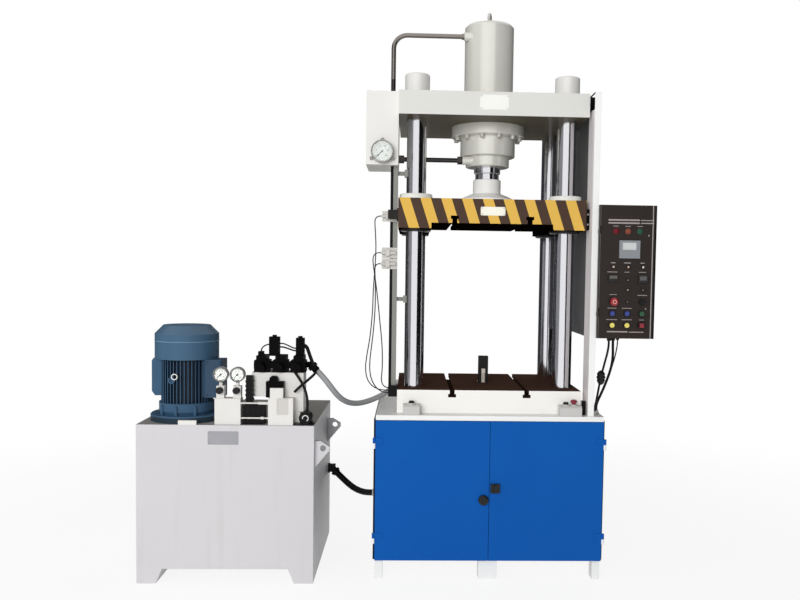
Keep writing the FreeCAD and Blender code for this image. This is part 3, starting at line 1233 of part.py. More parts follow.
# ---------------------------------------------------------------- the whole machine
cabinet_frame()
side_covers()
node("door_left", door(-1))
node("door_right", door(1))
latches()
bed()
columns()
column_nuts()
crown()
platen()
guide_bushes()
cylinder()
gland()
cylinder_fasteners()
ram()
ram_collar()
ejector()
lift_cylinder()
gauge_box()
press_gauge()
needle("press_gauge_needle", SIZES["gauge_radius"],
       (-S.gauge_x, -S.box_front - S.gauge_depth, GAUGE_Z))
pressure_pipes()
switch_bar()
limit_switches()
trip_dog()
duct_post()
side_guard()
control_box()
control_door()
panel_buttons()
panel_instruments()
stations()
tank()
motor()
motor_cowl()
motor_rotor()
gauge_block()
valve_manifold()
solenoid_valves()
pack_fittings()
press_fittings()
cords()
doc.recompute()

faults = [thing.Label for thing in doc.Objects if {"Invalid", "Error"} & set(thing.State)]
for label, thing in nodes.items():
    if thing.Label != label or thing.Shape.isNull() or not thing.Shape.isValid():
        faults.append(label)
if faults:
    raise SystemExit(f"not sound: {faults}")

os.makedirs("parts", exist_ok=True)
box = FreeCAD.BoundBox()
for label, thing in nodes.items():
    thing.Shape.exportStep(f"parts/{label}.step")
    box.add(thing.Shape.BoundBox)
print(len(nodes), "sub-parts, box", box)
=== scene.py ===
# %% [markdown]
# # A hydraulic press and its oil power pack
# A white frame with four bright columns stands on a blue-doored cabinet. A ram pushes a striped
# platen down towards a dark slotted table. Beside it an oil tank carries a motor, gauges and valves,
# and a grey conduit and a black hose join the two. The lesson dresses a finished CAD model: its
# shapes stay as they are, and each surface gets its paint, metal or rubber.

import math

import bmesh
import bpy
from mathutils import Matrix, Vector


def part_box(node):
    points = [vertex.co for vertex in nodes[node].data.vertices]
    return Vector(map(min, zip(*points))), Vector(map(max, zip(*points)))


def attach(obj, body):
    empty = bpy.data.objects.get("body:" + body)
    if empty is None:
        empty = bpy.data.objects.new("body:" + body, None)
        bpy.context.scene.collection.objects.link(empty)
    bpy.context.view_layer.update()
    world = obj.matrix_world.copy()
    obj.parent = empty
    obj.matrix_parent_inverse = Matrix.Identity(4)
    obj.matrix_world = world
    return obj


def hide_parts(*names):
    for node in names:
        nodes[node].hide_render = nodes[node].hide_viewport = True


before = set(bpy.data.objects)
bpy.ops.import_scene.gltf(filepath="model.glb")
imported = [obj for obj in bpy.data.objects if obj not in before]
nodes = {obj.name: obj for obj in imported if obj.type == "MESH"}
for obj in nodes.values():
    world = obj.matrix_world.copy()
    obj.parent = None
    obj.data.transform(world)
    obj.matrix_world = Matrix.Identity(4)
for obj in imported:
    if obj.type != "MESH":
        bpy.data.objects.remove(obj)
scene = bpy.context.scene
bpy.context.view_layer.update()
MM = 0.001


# %% [markdown]
# Places are read from the frame, so that they follow the CAD model if its sizes change. Others are
# given in millimetres from the ram's axis or from the middle of the tank, both on the floor.

# %% Places read from the frame
def low(node):
    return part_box(node)[0]


def high(node):
    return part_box(node)[1]


def middle(node):
    return (low(node) + high(node)) / 2


PRESS_ORIGIN = Vector((415.5, 60, 0))
PACK_ORIGIN = Vector((-752.5, 1, 0))


def at_press(x, y, z):
    return (PRESS_ORIGIN + Vector((x, y, z))) * MM


def at_pack(x, y, z):
    return (PACK_ORIGIN + Vector((x, y, z))) * MM


PRESS = middle("ram")
MOTOR = middle("motor_rotor")
TANK_TOP = high("tank").z
BED_TOP = high("bed_plate").z
print("press axis", PRESS, "motor axis", MOTOR)

# %% [markdown]
# The camera stands a little left of the press at eye height and looks slightly down. Its place, turn
# and lens come from measuring the edges of the table, crown and doors in the photograph and solving
# for the one camera that sees them so. A small shift puts the machine where the photograph has it.

# %% Camera
CAMERA_PLACE = (0.0512, -4.0498, 1.3812)
CAMERA_YAW = 0.0357
CAMERA_PITCH = 0.0528
CAMERA_ROLL = 0.0150
CAMERA_LENS = 37.77
SENSOR_WIDTH = 36
SHIFT_X, SHIFT_Y = -0.0503, 0.0229


def new_object(name, data):
    made = bpy.data.objects.new(name, data)
    scene.collection.objects.link(made)
    return made


forward = Vector((math.sin(CAMERA_YAW) * math.cos(CAMERA_PITCH),
                  math.cos(CAMERA_YAW) * math.cos(CAMERA_PITCH), -math.sin(CAMERA_PITCH)))
level = Vector((math.cos(CAMERA_YAW), -math.sin(CAMERA_YAW), 0))
upright = level.cross(forward)
right = level * math.cos(CAMERA_ROLL) + upright * math.sin(CAMERA_ROLL)
up = upright * math.cos(CAMERA_ROLL) - level * math.sin(CAMERA_ROLL)
camera = new_object("camera", bpy.data.cameras.new("camera"))
stand = Matrix((right, up, -forward)).transposed().to_4x4()
stand.translation = CAMERA_PLACE
camera.matrix_world = stand
camera.data.lens = CAMERA_LENS
camera.data.sensor_width = SENSOR_WIDTH
camera.data.shift_x = SHIFT_X
camera.data.shift_y = SHIFT_Y
scene.camera = camera
scene.view_settings.view_transform = "Standard"
print("camera at", CAMERA_PLACE)

# %% [markdown]
# Nodes are made in one way everywhere: the kind, what goes into its inputs, and its settings. An
# input that gets another node's output is linked, and any other value is set on the socket.

# %% Node helpers
def add(tree, kind, values=(), **settings):
    made = tree.nodes.new(kind)
    for label, value in settings.items():
        setattr(made, label, value)
    for place, value in dict(values).items():
        if isinstance(value, bpy.types.NodeSocket):
            tree.links.new(value, made.inputs[place])
        else:
            made.inputs[place].default_value = value
    return made


def calculate(tree, operation, first, second=0.0, clamp=False):
    return add(tree, "ShaderNodeMath", {0: first, 1: second}, operation=operation, use_clamp=clamp).outputs[0]


def mix_colour(tree, amount, first, second):
    return add(tree, "ShaderNodeMix", {0: amount, 6: first, 7: second}, data_type="RGBA").outputs[2]


def object_place(tree):
    return add(tree, "ShaderNodeTexCoord").outputs["Object"]


def noise(tree, where, scale, detail=3.0, roughness=0.55):
    return add(tree, "ShaderNodeTexNoise", {"Vector": where, "Scale": scale, "Detail": detail,
                                            "Roughness": roughness}).outputs["Fac"]


def bare_material(name):
    made = bpy.data.materials.new(name)
    made.use_nodes = True
    made.node_tree.nodes.clear()
    return made, made.node_tree


print("node helpers ready")

# %% [markdown]
# The floor is pale and fades into white with distance. For camera, mirror and glass rays the world is
# white too, while the rays that light the machine get only a low, even sky. A lamp from the front
# gives most of the light, so that faces turned to the right fall into soft shade.

# %% Floor and world
FLOOR_HALF = 4.8
FLOOR_FADE_START = 1.6
FLOOR_FADE_END = 4.3
FLOOR_GLOW_NEAR = 0.88
SKY_ON_OBJECT = 0.30


def ray_is_seen(tree):
    """1 for camera, mirror and glass rays, 0 for the rays that light the object."""
    ray = add(tree, "ShaderNodeLightPath").outputs
    straight = calculate(tree, "MAXIMUM", ray["Is Camera Ray"], ray["Is Glossy Ray"])
    return calculate(tree, "MAXIMUM", straight, ray["Is Transmission Ray"])


floor_mesh = bpy.data.meshes.new("floor")
floor_mesh.from_pydata([(-FLOOR_HALF, -FLOOR_HALF, 0), (FLOOR_HALF, -FLOOR_HALF, 0),
                        (FLOOR_HALF, FLOOR_HALF, 0), (-FLOOR_HALF, FLOOR_HALF, 0)], [], [(0, 1, 2, 3)])
floor = new_object("floor", floor_mesh)
floor_paint, tree = bare_material("floor_paint")
distance = add(tree, "ShaderNodeVectorMath", {0: object_place(tree)}, operation="LENGTH").outputs["Value"]
fade = add(tree, "ShaderNodeMapRange", {"Value": distance, "From Min": FLOOR_FADE_START,
                                        "From Max": FLOOR_FADE_END, "To Min": FLOOR_GLOW_NEAR},
           interpolation_type="SMOOTHSTEP")
matt = add(tree, "ShaderNodeBsdfDiffuse", {"Color": (0.93, 0.93, 0.92, 1)})
mixed = add(tree, "ShaderNodeMixShader", {
    0: calculate(tree, "MULTIPLY", fade.outputs["Result"], ray_is_seen(tree)),
    1: matt.outputs[0], 2: add(tree, "ShaderNodeEmission").outputs[0]})
add(tree, "ShaderNodeOutputMaterial", {"Surface": mixed.outputs[0]})
floor.data.materials.append(floor_paint)

world = bpy.data.worlds.new("studio")
scene.world = world
world.use_nodes = True
tree = world.node_tree
tree.nodes.clear()
strength = add(tree, "ShaderNodeMapRange", {"Value": ray_is_seen(tree), "To Min": SKY_ON_OBJECT})
sky = add(tree, "ShaderNodeBackground", {"Color": (1, 1, 1, 1), "Strength": strength.outputs["Result"]})
add(tree, "ShaderNodeOutputWorld", {"Surface": sky.outputs[0]})
print("floor and world, sky on the object", SKY_ON_OBJECT)

# %% [markdown]
# Chrome only looks like chrome when it has something dark to reflect. In the photograph each column
# is dark at its left edge, white in the middle and black down its right third, and the same broad
# white band runs down the painted cylinder. So curved walls of cloth stand round the studio, black
# from the camera's right to behind the machine and grey to its left, with a gap of plain white in
# front. Only mirror rays see them, so they neither show nor shade the machine.

# %% Cloth walls for the chrome, and the lamps
CLOTH_WALLS = {
    "cloth_black_right": (25, 178, (0.006, 0.006, 0.007)),
    "cloth_grey_left": (-98, -42, (0.27, 0.27, 0.28)),
    "cloth_dark_left": (-178, -98, (0.035, 0.035, 0.04)),
}
WALL_RADIUS = 7.5
WALL_LOW = -4.0
WALL_HIGH = 7.0
WALL_STEPS = 12
for name, (first, last, tone) in CLOTH_WALLS.items():
    points = []
    for step in range(WALL_STEPS + 1):
        angle = math.radians(first + (last - first) * step / WALL_STEPS)
        x, y = WALL_RADIUS * math.sin(angle), -WALL_RADIUS * math.cos(angle)
        points += [(x, y, WALL_LOW), (x, y, WALL_HIGH)]
    mesh = bpy.data.meshes.new(name)
    mesh.from_pydata(points, [], [(2 * step, 2 * step + 2, 2 * step + 3, 2 * step + 1)
                                  for step in range(WALL_STEPS)])
    cloth = new_object(name, mesh)
    cloth_paint, tree = bare_material(name)
    glow = add(tree, "ShaderNodeEmission", {"Color": (*tone, 1)})
    add(tree, "ShaderNodeOutputMaterial", {"Surface": glow.outputs[0]})
    mesh.materials.append(cloth_paint)
    for ray in ("camera", "diffuse", "shadow", "transmission"):
        setattr(cloth, "visible_" + ray, False)


def lamp(name, place, aim, size, watts):
    data = bpy.data.lights.new(name, "AREA")
    data.shape = "RECTANGLE"
    data.size, data.size_y = size
    data.energy = watts
    light = new_object(name, data)
    light.location = place
    light.rotation_euler = (Vector(aim) - Vector(place)).to_track_quat("-Z", "Y").to_euler()
    light.visible_camera = False
    light.visible_glossy = False


lamp("front_lamp", (-2.2, -9.0, 3.0), (0.0, 0.0, 1.2), (4.6, 3.6), 540)
lamp("side_lamp", (-5.0, -1.8, 2.6), (0.0, 0.0, 1.2), (2.4, 2.4), 45)
lamp("back_lamp", (1.5, 4.8, 3.6), (0.0, 0.0, 1.3), (3.0, 2.0), 45)
print("walls", sorted(CLOTH_WALLS), "and three lamps")

# %% [markdown]
# Colours are read off the photograph as screen values from 0 to 255, and the renderer works in
# linear light, so one small function turns the first into the second.

# %% Colour helper
def linear(value):
    part = value / 255
    return part / 12.92 if part <= 0.04045 else ((part + 0.055) / 1.055) ** 2.4


def colour(red, green, blue):
    return (linear(red), linear(green), linear(blue), 1.0)


print("frame white in linear light", [round(part, 3) for part in colour(226, 227, 223)])

# %% [markdown]
# Machine paint, plastic, rubber and metal all vary a little: broad patches of tone, a fine grain in
# the gloss, and a grain too small to see singly. One node group makes those three for every
# material, and each material gives it its own sizes and amounts. The group only puts out values that
# change over the surface, since whatever is the same everywhere belongs on the shader's own socket.

# %% Shader group: life of a surface
SOCKETS = {"c": "NodeSocketColor", "f": "NodeSocketFloat"}


def new_group(name, inputs, outputs):
    """inputs are label: value, and outputs are label: c for a colour or f for a number."""
    group = bpy.data.node_groups.new(name, "ShaderNodeTree")
    for label, value in inputs.items():
        kind = SOCKETS["c" if isinstance(value, tuple) else "f"]
        group.interface.new_socket(name=label, in_out="INPUT", socket_type=kind).default_value = value
    for label, kind in outputs.items():
        group.interface.new_socket(name=label, in_out="OUTPUT", socket_type=SOCKETS[kind])
    return group, group.nodes.new("NodeGroupInput").outputs


def put_out(group, **results):
    end = group.nodes.new("NodeGroupOutput")
    for label, value in results.items():
        group.links.new(value, end.inputs[label])
    print("group", group.name, "with", len(group.nodes), "nodes")


life, given = new_group(
    "surface_life",
    {"Colour": (0.8, 0.8, 0.8, 1), "Patch Colour": (0.7, 0.7, 0.7, 1), "Patch Scale": 3.0,
     "Patch Amount": 0.4, "Roughness": 0.4, "Gloss Spread": 0.1, "Gloss Scale": 20.0, "Grain Scale": 600.0},
    {"Colour": "c", "Roughness": "f", "Height": "f"})
where = object_place(life)
patches = noise(life, where, given["Patch Scale"], 4.0, 0.6)
patch_share = calculate(life, "MULTIPLY", patches, given["Patch Amount"])
off_middle = calculate(life, "SUBTRACT", noise(life, where, given["Gloss Scale"], 3.0), 0.5)
spread = calculate(life, "MULTIPLY", off_middle, given["Gloss Spread"])
put_out(life, Colour=mix_colour(life, patch_share, given["Colour"], given["Patch Colour"]),
        Roughness=calculate(life, "ADD", spread, given["Roughness"], clamp=True),
        Height=noise(life, where, given["Grain Scale"], 2.0))

# %% [markdown]
# Edges of painted plate wear first: hands and tools rub the paint thin there. A Bevel node gives the
# normal that a rounded edge would have, and where it leaves the flat face's own normal there is an
# edge. Broken up by noise it becomes a wear mask. Dust settles on faces that look up, so a second
# group uses the normal's upward part. A third draws long thin runs down a wall.

# %% Shader groups: edge wear, settled dust and running streaks
WEAR_RADIUS = 1.6 * MM


def thresholded(tree, value, start, gain):
    """0 up to start, then rising steeply to 1."""
    return calculate(tree, "MULTIPLY", calculate(tree, "SUBTRACT", value, start), gain, clamp=True)


def product(tree, first, second):
    return calculate(tree, "MULTIPLY", first, second)


wear, given = new_group("edge_wear", {"Scale": 60.0, "Amount": 0.5}, {"Mask": "f"})
rounded = add(wear, "ShaderNodeBevel", {"Radius": WEAR_RADIUS}, samples=4)
own = add(wear, "ShaderNodeNewGeometry")
likeness = add(wear, "ShaderNodeVectorMath", {0: rounded.outputs["Normal"], 1: own.outputs["Normal"]},
               operation="DOT_PRODUCT")
bent = calculate(wear, "SUBTRACT", 1.0, likeness.outputs["Value"])
edge = calculate(wear, "MULTIPLY", bent, 5.0, clamp=True)
flakes = noise(wear, object_place(wear), given["Scale"], 5.0, 0.7)
worn_off = product(wear, edge, thresholded(wear, flakes, 0.42, 6.0))
put_out(wear, Mask=product(wear, worn_off, given["Amount"]))

dust, given = new_group("settled_dust", {"Scale": 9.0, "Amount": 0.3}, {"Mask": "f"})
facing = add(dust, "ShaderNodeSeparateXYZ", {0: add(dust, "ShaderNodeNewGeometry").outputs["Normal"]})
upward = calculate(dust, "SUBTRACT", product(dust, facing.outputs["Z"], 1.6), 0.5, clamp=True)
drift = noise(dust, object_place(dust), given["Scale"], 5.0, 0.65)
put_out(dust, Mask=product(dust, product(dust, upward, drift), given["Amount"]))

streaks, given = new_group("running_streaks", {"Across Scale": 26.0, "Amount": 0.3}, {"Mask": "f"})
stretch = add(streaks, "ShaderNodeMapping", {"Vector": object_place(streaks), "Scale": (1, 1, 0.06)})
runs = noise(streaks, stretch.outputs["Vector"], given["Across Scale"], 3.0, 0.5)
put_out(streaks, Mask=product(streaks, thresholded(streaks, runs, 0.58, 7.0), given["Amount"]))

# %% [markdown]
# Every finish is built by one function from those groups, so that each material below is a line or
# two of plain facts: its colour, its patches, its gloss and its grain. The shader stays in the
# material, where the clear coat and the metal are set on its own sockets.

# %% Material builder
paints = {}
bare = set(nodes)
DUST = (176, 168, 152)
STREAK = (190, 183, 180)
STEEL_UNDER_PAINT = (150, 148, 142)
BARE_PAINT = (196, 192, 180)
COAT_ROUGHNESS = 0.08
BUMP_DISTANCE = 0.5 * MM
SOFT_EDGE = 1.2 * MM


def place_group(tree, group, **values):
    made = add(tree, "ShaderNodeGroup", node_tree=group)
    for label, value in values.items():
        made.inputs[label.replace("_", " ")].default_value = value
    return made


def finish(name, wearers, tone, patch, patch_scale, patch_amount, roughness, gloss_spread=0.12,
           gloss_scale=18.0, grain=700.0, bump=0.05, metal=0.0, coat=0.0, shine=0.5, rounded_edges=True,
           worn=0, under=BARE_PAINT, dusty=0, dust_tone=DUST, streaked=0):
    """A material from the shared groups, put on the CAD pieces that wear it."""
    made = bpy.data.materials.new(name)
    made.use_nodes = True
    tree = made.node_tree
    shader = tree.nodes["Principled BSDF"]
    shader.inputs["Metallic"].default_value = metal
    shader.inputs["Specular IOR Level"].default_value = shine
    shader.inputs["Coat Weight"].default_value = coat
    shader.inputs["Coat Roughness"].default_value = COAT_ROUGHNESS
    base = place_group(tree, life, Colour=colour(*tone), Patch_Colour=colour(*patch), Patch_Scale=patch_scale,
                       Patch_Amount=patch_amount, Roughness=roughness, Gloss_Spread=gloss_spread,
                       Gloss_Scale=gloss_scale, Grain_Scale=grain)
    shown = base.outputs["Colour"]
    for group, amount, laid in ((streaks, streaked, STREAK), (dust, dusty, dust_tone), (wear, worn, under)):
        if amount:
            over = place_group(tree, group, Amount=amount)
            shown = mix_colour(tree, over.outputs["Mask"], shown, colour(*laid))
    tree.links.new(shown, shader.inputs["Base Color"])
    tree.links.new(base.outputs["Roughness"], shader.inputs["Roughness"])
    raised = add(tree, "ShaderNodeBump", {"Strength": bump, "Distance": BUMP_DISTANCE,
                                          "Height": base.outputs["Height"]})
    if rounded_edges:
        soft = add(tree, "ShaderNodeBevel", {"Radius": SOFT_EDGE}, samples=4)
        tree.links.new(soft.outputs["Normal"], raised.inputs["Normal"])
    tree.links.new(raised.outputs["Normal"], shader.inputs["Normal"])
    paints[name] = made
    for node in wearers.split():
        nodes[node].data.materials.clear()
        nodes[node].data.materials.append(made)
        bare.remove(node)


print("material builder ready")

# %% [markdown]
# First the painted pieces. Each line gives a name, the CAD pieces that wear the finish, the main and
# the second colour, the size and the share of the patches, and the roughness. What follows is only
# given where it isn't the usual.

# %% Machine paints
finish("frame_white", "cabinet_frame", (246, 247, 246), (230, 230, 226), 2.2, 0.4, 0.42, coat=0.1, worn=0.5,
       dusty=0.3)
finish("box_white", "gauge_box", (238, 236, 233), (222, 221, 216), 3.2, 0.4, 0.42, coat=0.1, worn=0.4,
       dusty=0.3)
finish("door_blue", "door_left door_right", (12, 92, 176), (8, 76, 158), 1.6, 0.6, 0.4, gloss_spread=0.1,
       shine=0.12, worn=0.4, under=(60, 116, 172))
finish("cover_dark", "side_covers", (18, 28, 44), (30, 36, 46), 3.0, 0.4, 0.5, shine=0.15)
finish("cylinder_cream", "cylinder_barrel cylinder_gland", (232, 231, 224), (214, 212, 200), 3.0, 0.4, 0.22,
       gloss_spread=0.05, metal=0.22, bump=0.04, grain=420.0, worn=0.3)
finish("hub_white", "ram_collar", (252, 251, 248), (242, 240, 235), 6.0, 0.4, 0.26, gloss_spread=0.05,
       worn=0.3)
finish("platen_paint", "platen", (240, 240, 236), (224, 222, 214), 2.5, 0.45, 0.36, dusty=0.25)
finish("bed_paint", "bed_plate", (250, 249, 245), (236, 232, 224), 2.5, 0.45, 0.34, worn=0.5)
finish("bush_paint", "guide_bushes", (238, 238, 232), (220, 218, 210), 8.0, 0.4, 0.36, worn=0.4)
finish("crown_paint", "crown_plate", (226, 226, 222), (212, 211, 204), 2.2, 0.45, 0.42, coat=0.1, worn=0.5,
       dusty=0.35)
finish("tank_white", "tank", (213, 211, 214), (197, 194, 196), 1.8, 0.5, 0.4, worn=0.5, dusty=0.5,
       dust_tone=(150, 142, 132), streaked=0.18)
finish("motor_blue", "motor_cowl", (66, 98, 124), (50, 80, 106), 5.0, 0.6, 0.38, bump=0.16, grain=360.0,
       shine=0.35, worn=0.5, under=(104, 134, 154), dusty=0.35, dust_tone=(120, 134, 142))
finish("fin_blue", "motor_body", (60, 92, 120), (46, 74, 100), 7.0, 0.6, 0.4, bump=0.16, grain=360.0,
       shine=0.3, worn=0.5, under=(104, 134, 154))
finish("bar_paint", "switch_bar", (140, 140, 135), (124, 124, 119), 4.0, 0.5, 0.4)
finish("duct_paint", "duct_post", (250, 251, 250), (238, 238, 235), 2.2, 0.4, 0.42, coat=0.1, worn=0.5,
       dusty=0.3)
finish("guard_grey", "side_guard", (100, 100, 102), (86, 87, 90), 2.0, 0.5, 0.5, shine=0.25, dusty=0.2)
for name, node, patch in (("box_dark", "control_box", (54, 46, 43)),
                          ("door_dark", "control_door", (56, 47, 44))):
    finish(name, node, (40, 34, 32), patch, 3.5, 0.5, 0.34, shine=0.2, worn=0.4, under=(96, 92, 90))
finish("station_paint", "station_housings", (206, 205, 203), (180, 178, 174), 8.0, 0.5, 0.42, worn=0.6,
       under=STEEL_UNDER_PAINT, dusty=0.4)
for name, node in (("valve_white", "valve_manifold"), ("gauge_white", "gauge_block")):
    finish(name, node, (232, 230, 227), (212, 209, 202), 6.0, 0.45, 0.4, worn=0.6, dusty=0.25)
print("painted finishes", len(paints))

# %% [markdown]
# Then bare metal, rubber and plastic. Chrome and the pipes keep their sharp edges, because a bevel
# in a mirror shows.

# %% Metal, rubber and plastic
finish("nut_metal", "column_nuts", (238, 236, 233), (220, 218, 214), 9.0, 0.4, 0.32, metal=0.1, grain=900.0,
       bump=0.03)
finish("chrome", "columns ram", (229, 229, 233), (214, 215, 221), 3.0, 0.2, 0.11, gloss_spread=0.03,
       gloss_scale=12.0, metal=1.0, bump=0.004, rounded_edges=False)
finish("steel", "press_fittings", (206, 204, 200), (160, 156, 150), 22.0, 0.45, 0.3, metal=0.8, grain=1200.0)
finish("steel_dark", "lift_cylinder trip_dog", (36, 33, 31), (24, 23, 23), 20.0, 0.5, 0.42, metal=0.2,
       shine=0.3, grain=900.0)
finish("pipe_steel", "pressure_pipes", (150, 145, 139), (122, 116, 110), 9.0, 0.35, 0.24, gloss_spread=0.05,
       metal=1.0, bump=0.006, rounded_edges=False)
finish("gauge_rim", "press_gauge", (168, 168, 166), (130, 130, 128), 14.0, 0.4, 0.24, metal=0.9)
finish("needle_black", "press_gauge_needle pack_needle_left pack_needle_right", (20, 20, 20), (34, 32, 32),
       40.0, 0.3, 0.5)
finish("black_plastic",
       "latch_left latch_right selector_switch palm_button_left palm_button_right "
       "gauge_valve_left gauge_valve_right",
       (18, 17, 18), (30, 29, 30), 20.0, 0.4, 0.36, shine=0.35, grain=1400.0, bump=0.08)
finish("button_blue", "button_blue_left button_blue_right", (42, 58, 142), (32, 46, 122), 30.0, 0.4, 0.22,
       coat=0.3)
finish("button_green", "button_green", (26, 82, 52), (20, 66, 44), 30.0, 0.4, 0.22, coat=0.3)
finish("button_yellow", "button_yellow_left button_yellow_right", (232, 216, 110), (214, 194, 84), 30.0, 0.4,
       0.24, coat=0.3)
finish("button_red", "button_red", (138, 26, 40), (114, 18, 30), 30.0, 0.4, 0.24, coat=0.3)
finish("crimson", "station_stop", (132, 20, 44), (108, 14, 32), 30.0, 0.4, 0.28, coat=0.3)
finish("rotor_steel", "motor_rotor", (120, 118, 116), (84, 82, 80), 12.0, 0.5, 0.4, metal=0.8)
finish("valve_black", "solenoid_valves", (4, 3, 4), (12, 10, 11), 16.0, 0.5, 0.4, bump=0.12, shine=0.07,
       grain=900.0, worn=0.4, under=(84, 82, 80))
finish("conduit_grey", "conduit", (170, 171, 173), (146, 147, 150), 10.0, 0.4, 0.4, shine=0.3)
finish("hose_black", "oil_hose panel_cables", (11, 10, 11), (22, 21, 22), 14.0, 0.5, 0.42, bump=0.2,
       shine=0.2, grain=1100.0)
finish("wire_black", "sensor_cables", (40, 40, 44), (60, 60, 64), 40.0, 0.5, 0.5, bump=0.1, shine=0.3)
finish("fitting_black", "pack_fittings", (12, 11, 12), (24, 22, 23), 16.0, 0.5, 0.42, bump=0.12, shine=0.2,
       grain=900.0)
finish("switch_steel", "limit_switches", (214, 212, 206), (178, 174, 166), 22.0, 0.45, 0.36, metal=0.35,
       grain=1200.0)
finish("pin_steel", "ejector", (30, 27, 26), (20, 19, 19), 20.0, 0.5, 0.42, metal=0.2, shine=0.3, grain=900.0)
finish("bolt_steel", "cylinder_fasteners", (226, 224, 218), (190, 187, 180), 22.0, 0.45, 0.3, metal=0.5,
       grain=1200.0)
finish("instrument_faces", "panel_instruments", (22, 20, 21), (34, 31, 31), 24.0, 0.4, 0.34, shine=0.35,
       grain=1400.0, bump=0.06)
finish("stop_head", "emergency_stop", (150, 24, 32), (122, 18, 26), 30.0, 0.4, 0.24, coat=0.3)
print("finishes", len(paints))

# %% [markdown]
# Last come the finishes of the small pieces that only this script makes. The line printed at the end
# says if a CAD piece has been left without a finish.

# %% Finishes of the small pieces
finish("plate_white", "", (250, 250, 246), (238, 237, 228), 14.0, 0.4, 0.3, shine=0.4)
finish("plate_ivory", "", (252, 250, 238), (240, 236, 214), 14.0, 0.4, 0.3, shine=0.4)
finish("plate_silver", "", (170, 170, 175), (140, 140, 146), 18.0, 0.5, 0.36, metal=0.3)
finish("rivet_steel", "", (190, 190, 188), (160, 158, 154), 60.0, 0.4, 0.3, metal=0.8)
finish("dial_white", "", (244, 244, 240), (232, 231, 224), 30.0, 0.3, 0.5, shine=0.3, rounded_edges=False)
finish("dial_grey", "", (214, 214, 213), (196, 196, 194), 30.0, 0.3, 0.5, shine=0.3, rounded_edges=False)
finish("ink_black", "", (28, 28, 30), (50, 50, 52), 80.0, 0.3, 0.6, rounded_edges=False)
finish("label_grey", "", (168, 160, 158), (140, 132, 130), 30.0, 0.5, 0.4)
finish("tie_black", "", (16, 15, 16), (28, 27, 28), 40.0, 0.4, 0.4, shine=0.3)
finish("ring_white", "", (240, 240, 238), (224, 223, 219), 30.0, 0.3, 0.34)
# painted highlight: the lighter blue of the cowl's bead
finish("bead_highlight_blue", "", (118, 150, 172), (96, 128, 150), 20.0, 0.4, 0.36)
print("finishes", len(paints), "pieces left bare", sorted(bare))

# %% [markdown]
# Some CAD pieces carry more than one finish. The platen's front has hazard stripes while its top is
# white and its underside is painted black as painted shade, and the table's top is dark while its
# sides are white. Nothing is cut for this: the material looks at which way the face points and where
# on the piece it lies.

# %% Face masks
FLAT = 0.5


def face_way(tree):
    normal = add(tree, "ShaderNodeNewGeometry").outputs["Normal"]
    return add(tree, "ShaderNodeSeparateXYZ", {0: normal}).outputs


def place_parts(tree):
    return add(tree, "ShaderNodeSeparateXYZ", {0: object_place(tree)}).outputs


def more_than(tree, value, limit):
    return calculate(tree, "GREATER_THAN", value, limit)


def less_than(tree, value, limit):
    return calculate(tree, "LESS_THAN", value, limit)


def either(tree, first, second):
    return calculate(tree, "MAXIMUM", first, second)


def distance_from(tree, value, centre):
    return calculate(tree, "ABSOLUTE", calculate(tree, "SUBTRACT", value, centre))


def radius_from(tree, first, second, first_centre, second_centre):
    squares = [calculate(tree, "POWER", calculate(tree, "SUBTRACT", value, centre), 2.0)
               for value, centre in ((first, first_centre), (second, second_centre))]
    return calculate(tree, "SQRT", calculate(tree, "ADD", *squares))


def repaint(name, mask, tone, roughness=None, shine=0.2):
    """Lays a second colour over a finish where mask is 1. With a roughness the mirror gloss goes
    too, so that a dark face seen edge-on stays dark."""
    tree = paints[name].node_tree
    inputs = tree.nodes["Principled BSDF"].inputs
    base, rough, gloss = inputs["Base Color"], inputs["Roughness"], inputs["Specular IOR Level"]
    tree.links.new(mix_colour(tree, mask, base.links[0].from_socket, colour(*tone)), base)
    if roughness:
        mixed = add(tree, "ShaderNodeMix", {0: mask, 2: rough.links[0].from_socket, 3: roughness})
        tree.links.new(mixed.outputs[0], rough)
        less = add(tree, "ShaderNodeMapRange", {"Value": mask, "To Min": gloss.default_value,
                                                "To Max": shine})
        tree.links.new(less.outputs["Result"], gloss)


print("face masks ready")

# %% [markdown]
# The stripes are a saw wave along X, pushed sideways with height so that they lean. Scuffs of noise
# rub both bands a little. The underside and the walls of the slots are painted black as painted shade.

# %% Striped platen
DULL = 0.55
STRIPE_PITCH = 93.5 * MM
STRIPE_SHARE = 0.505
STRIPE_LEAN = math.tan(math.radians(18))
STRIPE_START = low("platen").x + 5 * MM
SLOTS_REACH = 0.3
SLOT_DEPTH = 20 * MM
tree = paints["platen_paint"].node_tree
way, spot = face_way(tree), place_parts(tree)
from_top = calculate(tree, "SUBTRACT", high("platen").z, spot["Z"])
leaned = calculate(tree, "SUBTRACT", spot["X"], product(tree, from_top, STRIPE_LEAN))
along = calculate(tree, "DIVIDE", calculate(tree, "SUBTRACT", leaned, STRIPE_START), STRIPE_PITCH)
is_yellow = less_than(tree, calculate(tree, "FRACT", along), STRIPE_SHARE)
is_front = less_than(tree, way["Y"], -FLAT)
scuffed = thresholded(tree, noise(tree, object_place(tree), 34.0, 6.0, 0.7), 0.6, 3.0)
black_band = mix_colour(tree, scuffed, colour(60, 36, 18), colour(92, 68, 46))
yellow_band = mix_colour(tree, scuffed, colour(226, 181, 79), colour(202, 159, 76))
base = tree.nodes["Principled BSDF"].inputs["Base Color"]
stripes = mix_colour(tree, is_yellow, black_band, yellow_band)
tree.links.new(mix_colour(tree, is_front, base.links[0].from_socket, stripes), base)
near_slots = less_than(tree, distance_from(tree, spot["X"], PRESS.x), SLOTS_REACH)
below_plate = less_than(tree, spot["Z"], high("platen").z - SLOT_DEPTH)
slot_shade = product(tree, near_slots, product(tree, below_plate, more_than(tree, way["Y"], -FLAT)))
# painted shade: the platen's underside and the walls of its slots are painted black
underside_shade = either(tree, less_than(tree, way["Z"], -FLAT), slot_shade)
repaint("platen_paint", underside_shade, (14, 9, 7), DULL, 0.0)
print("stripes every", STRIPE_PITCH)
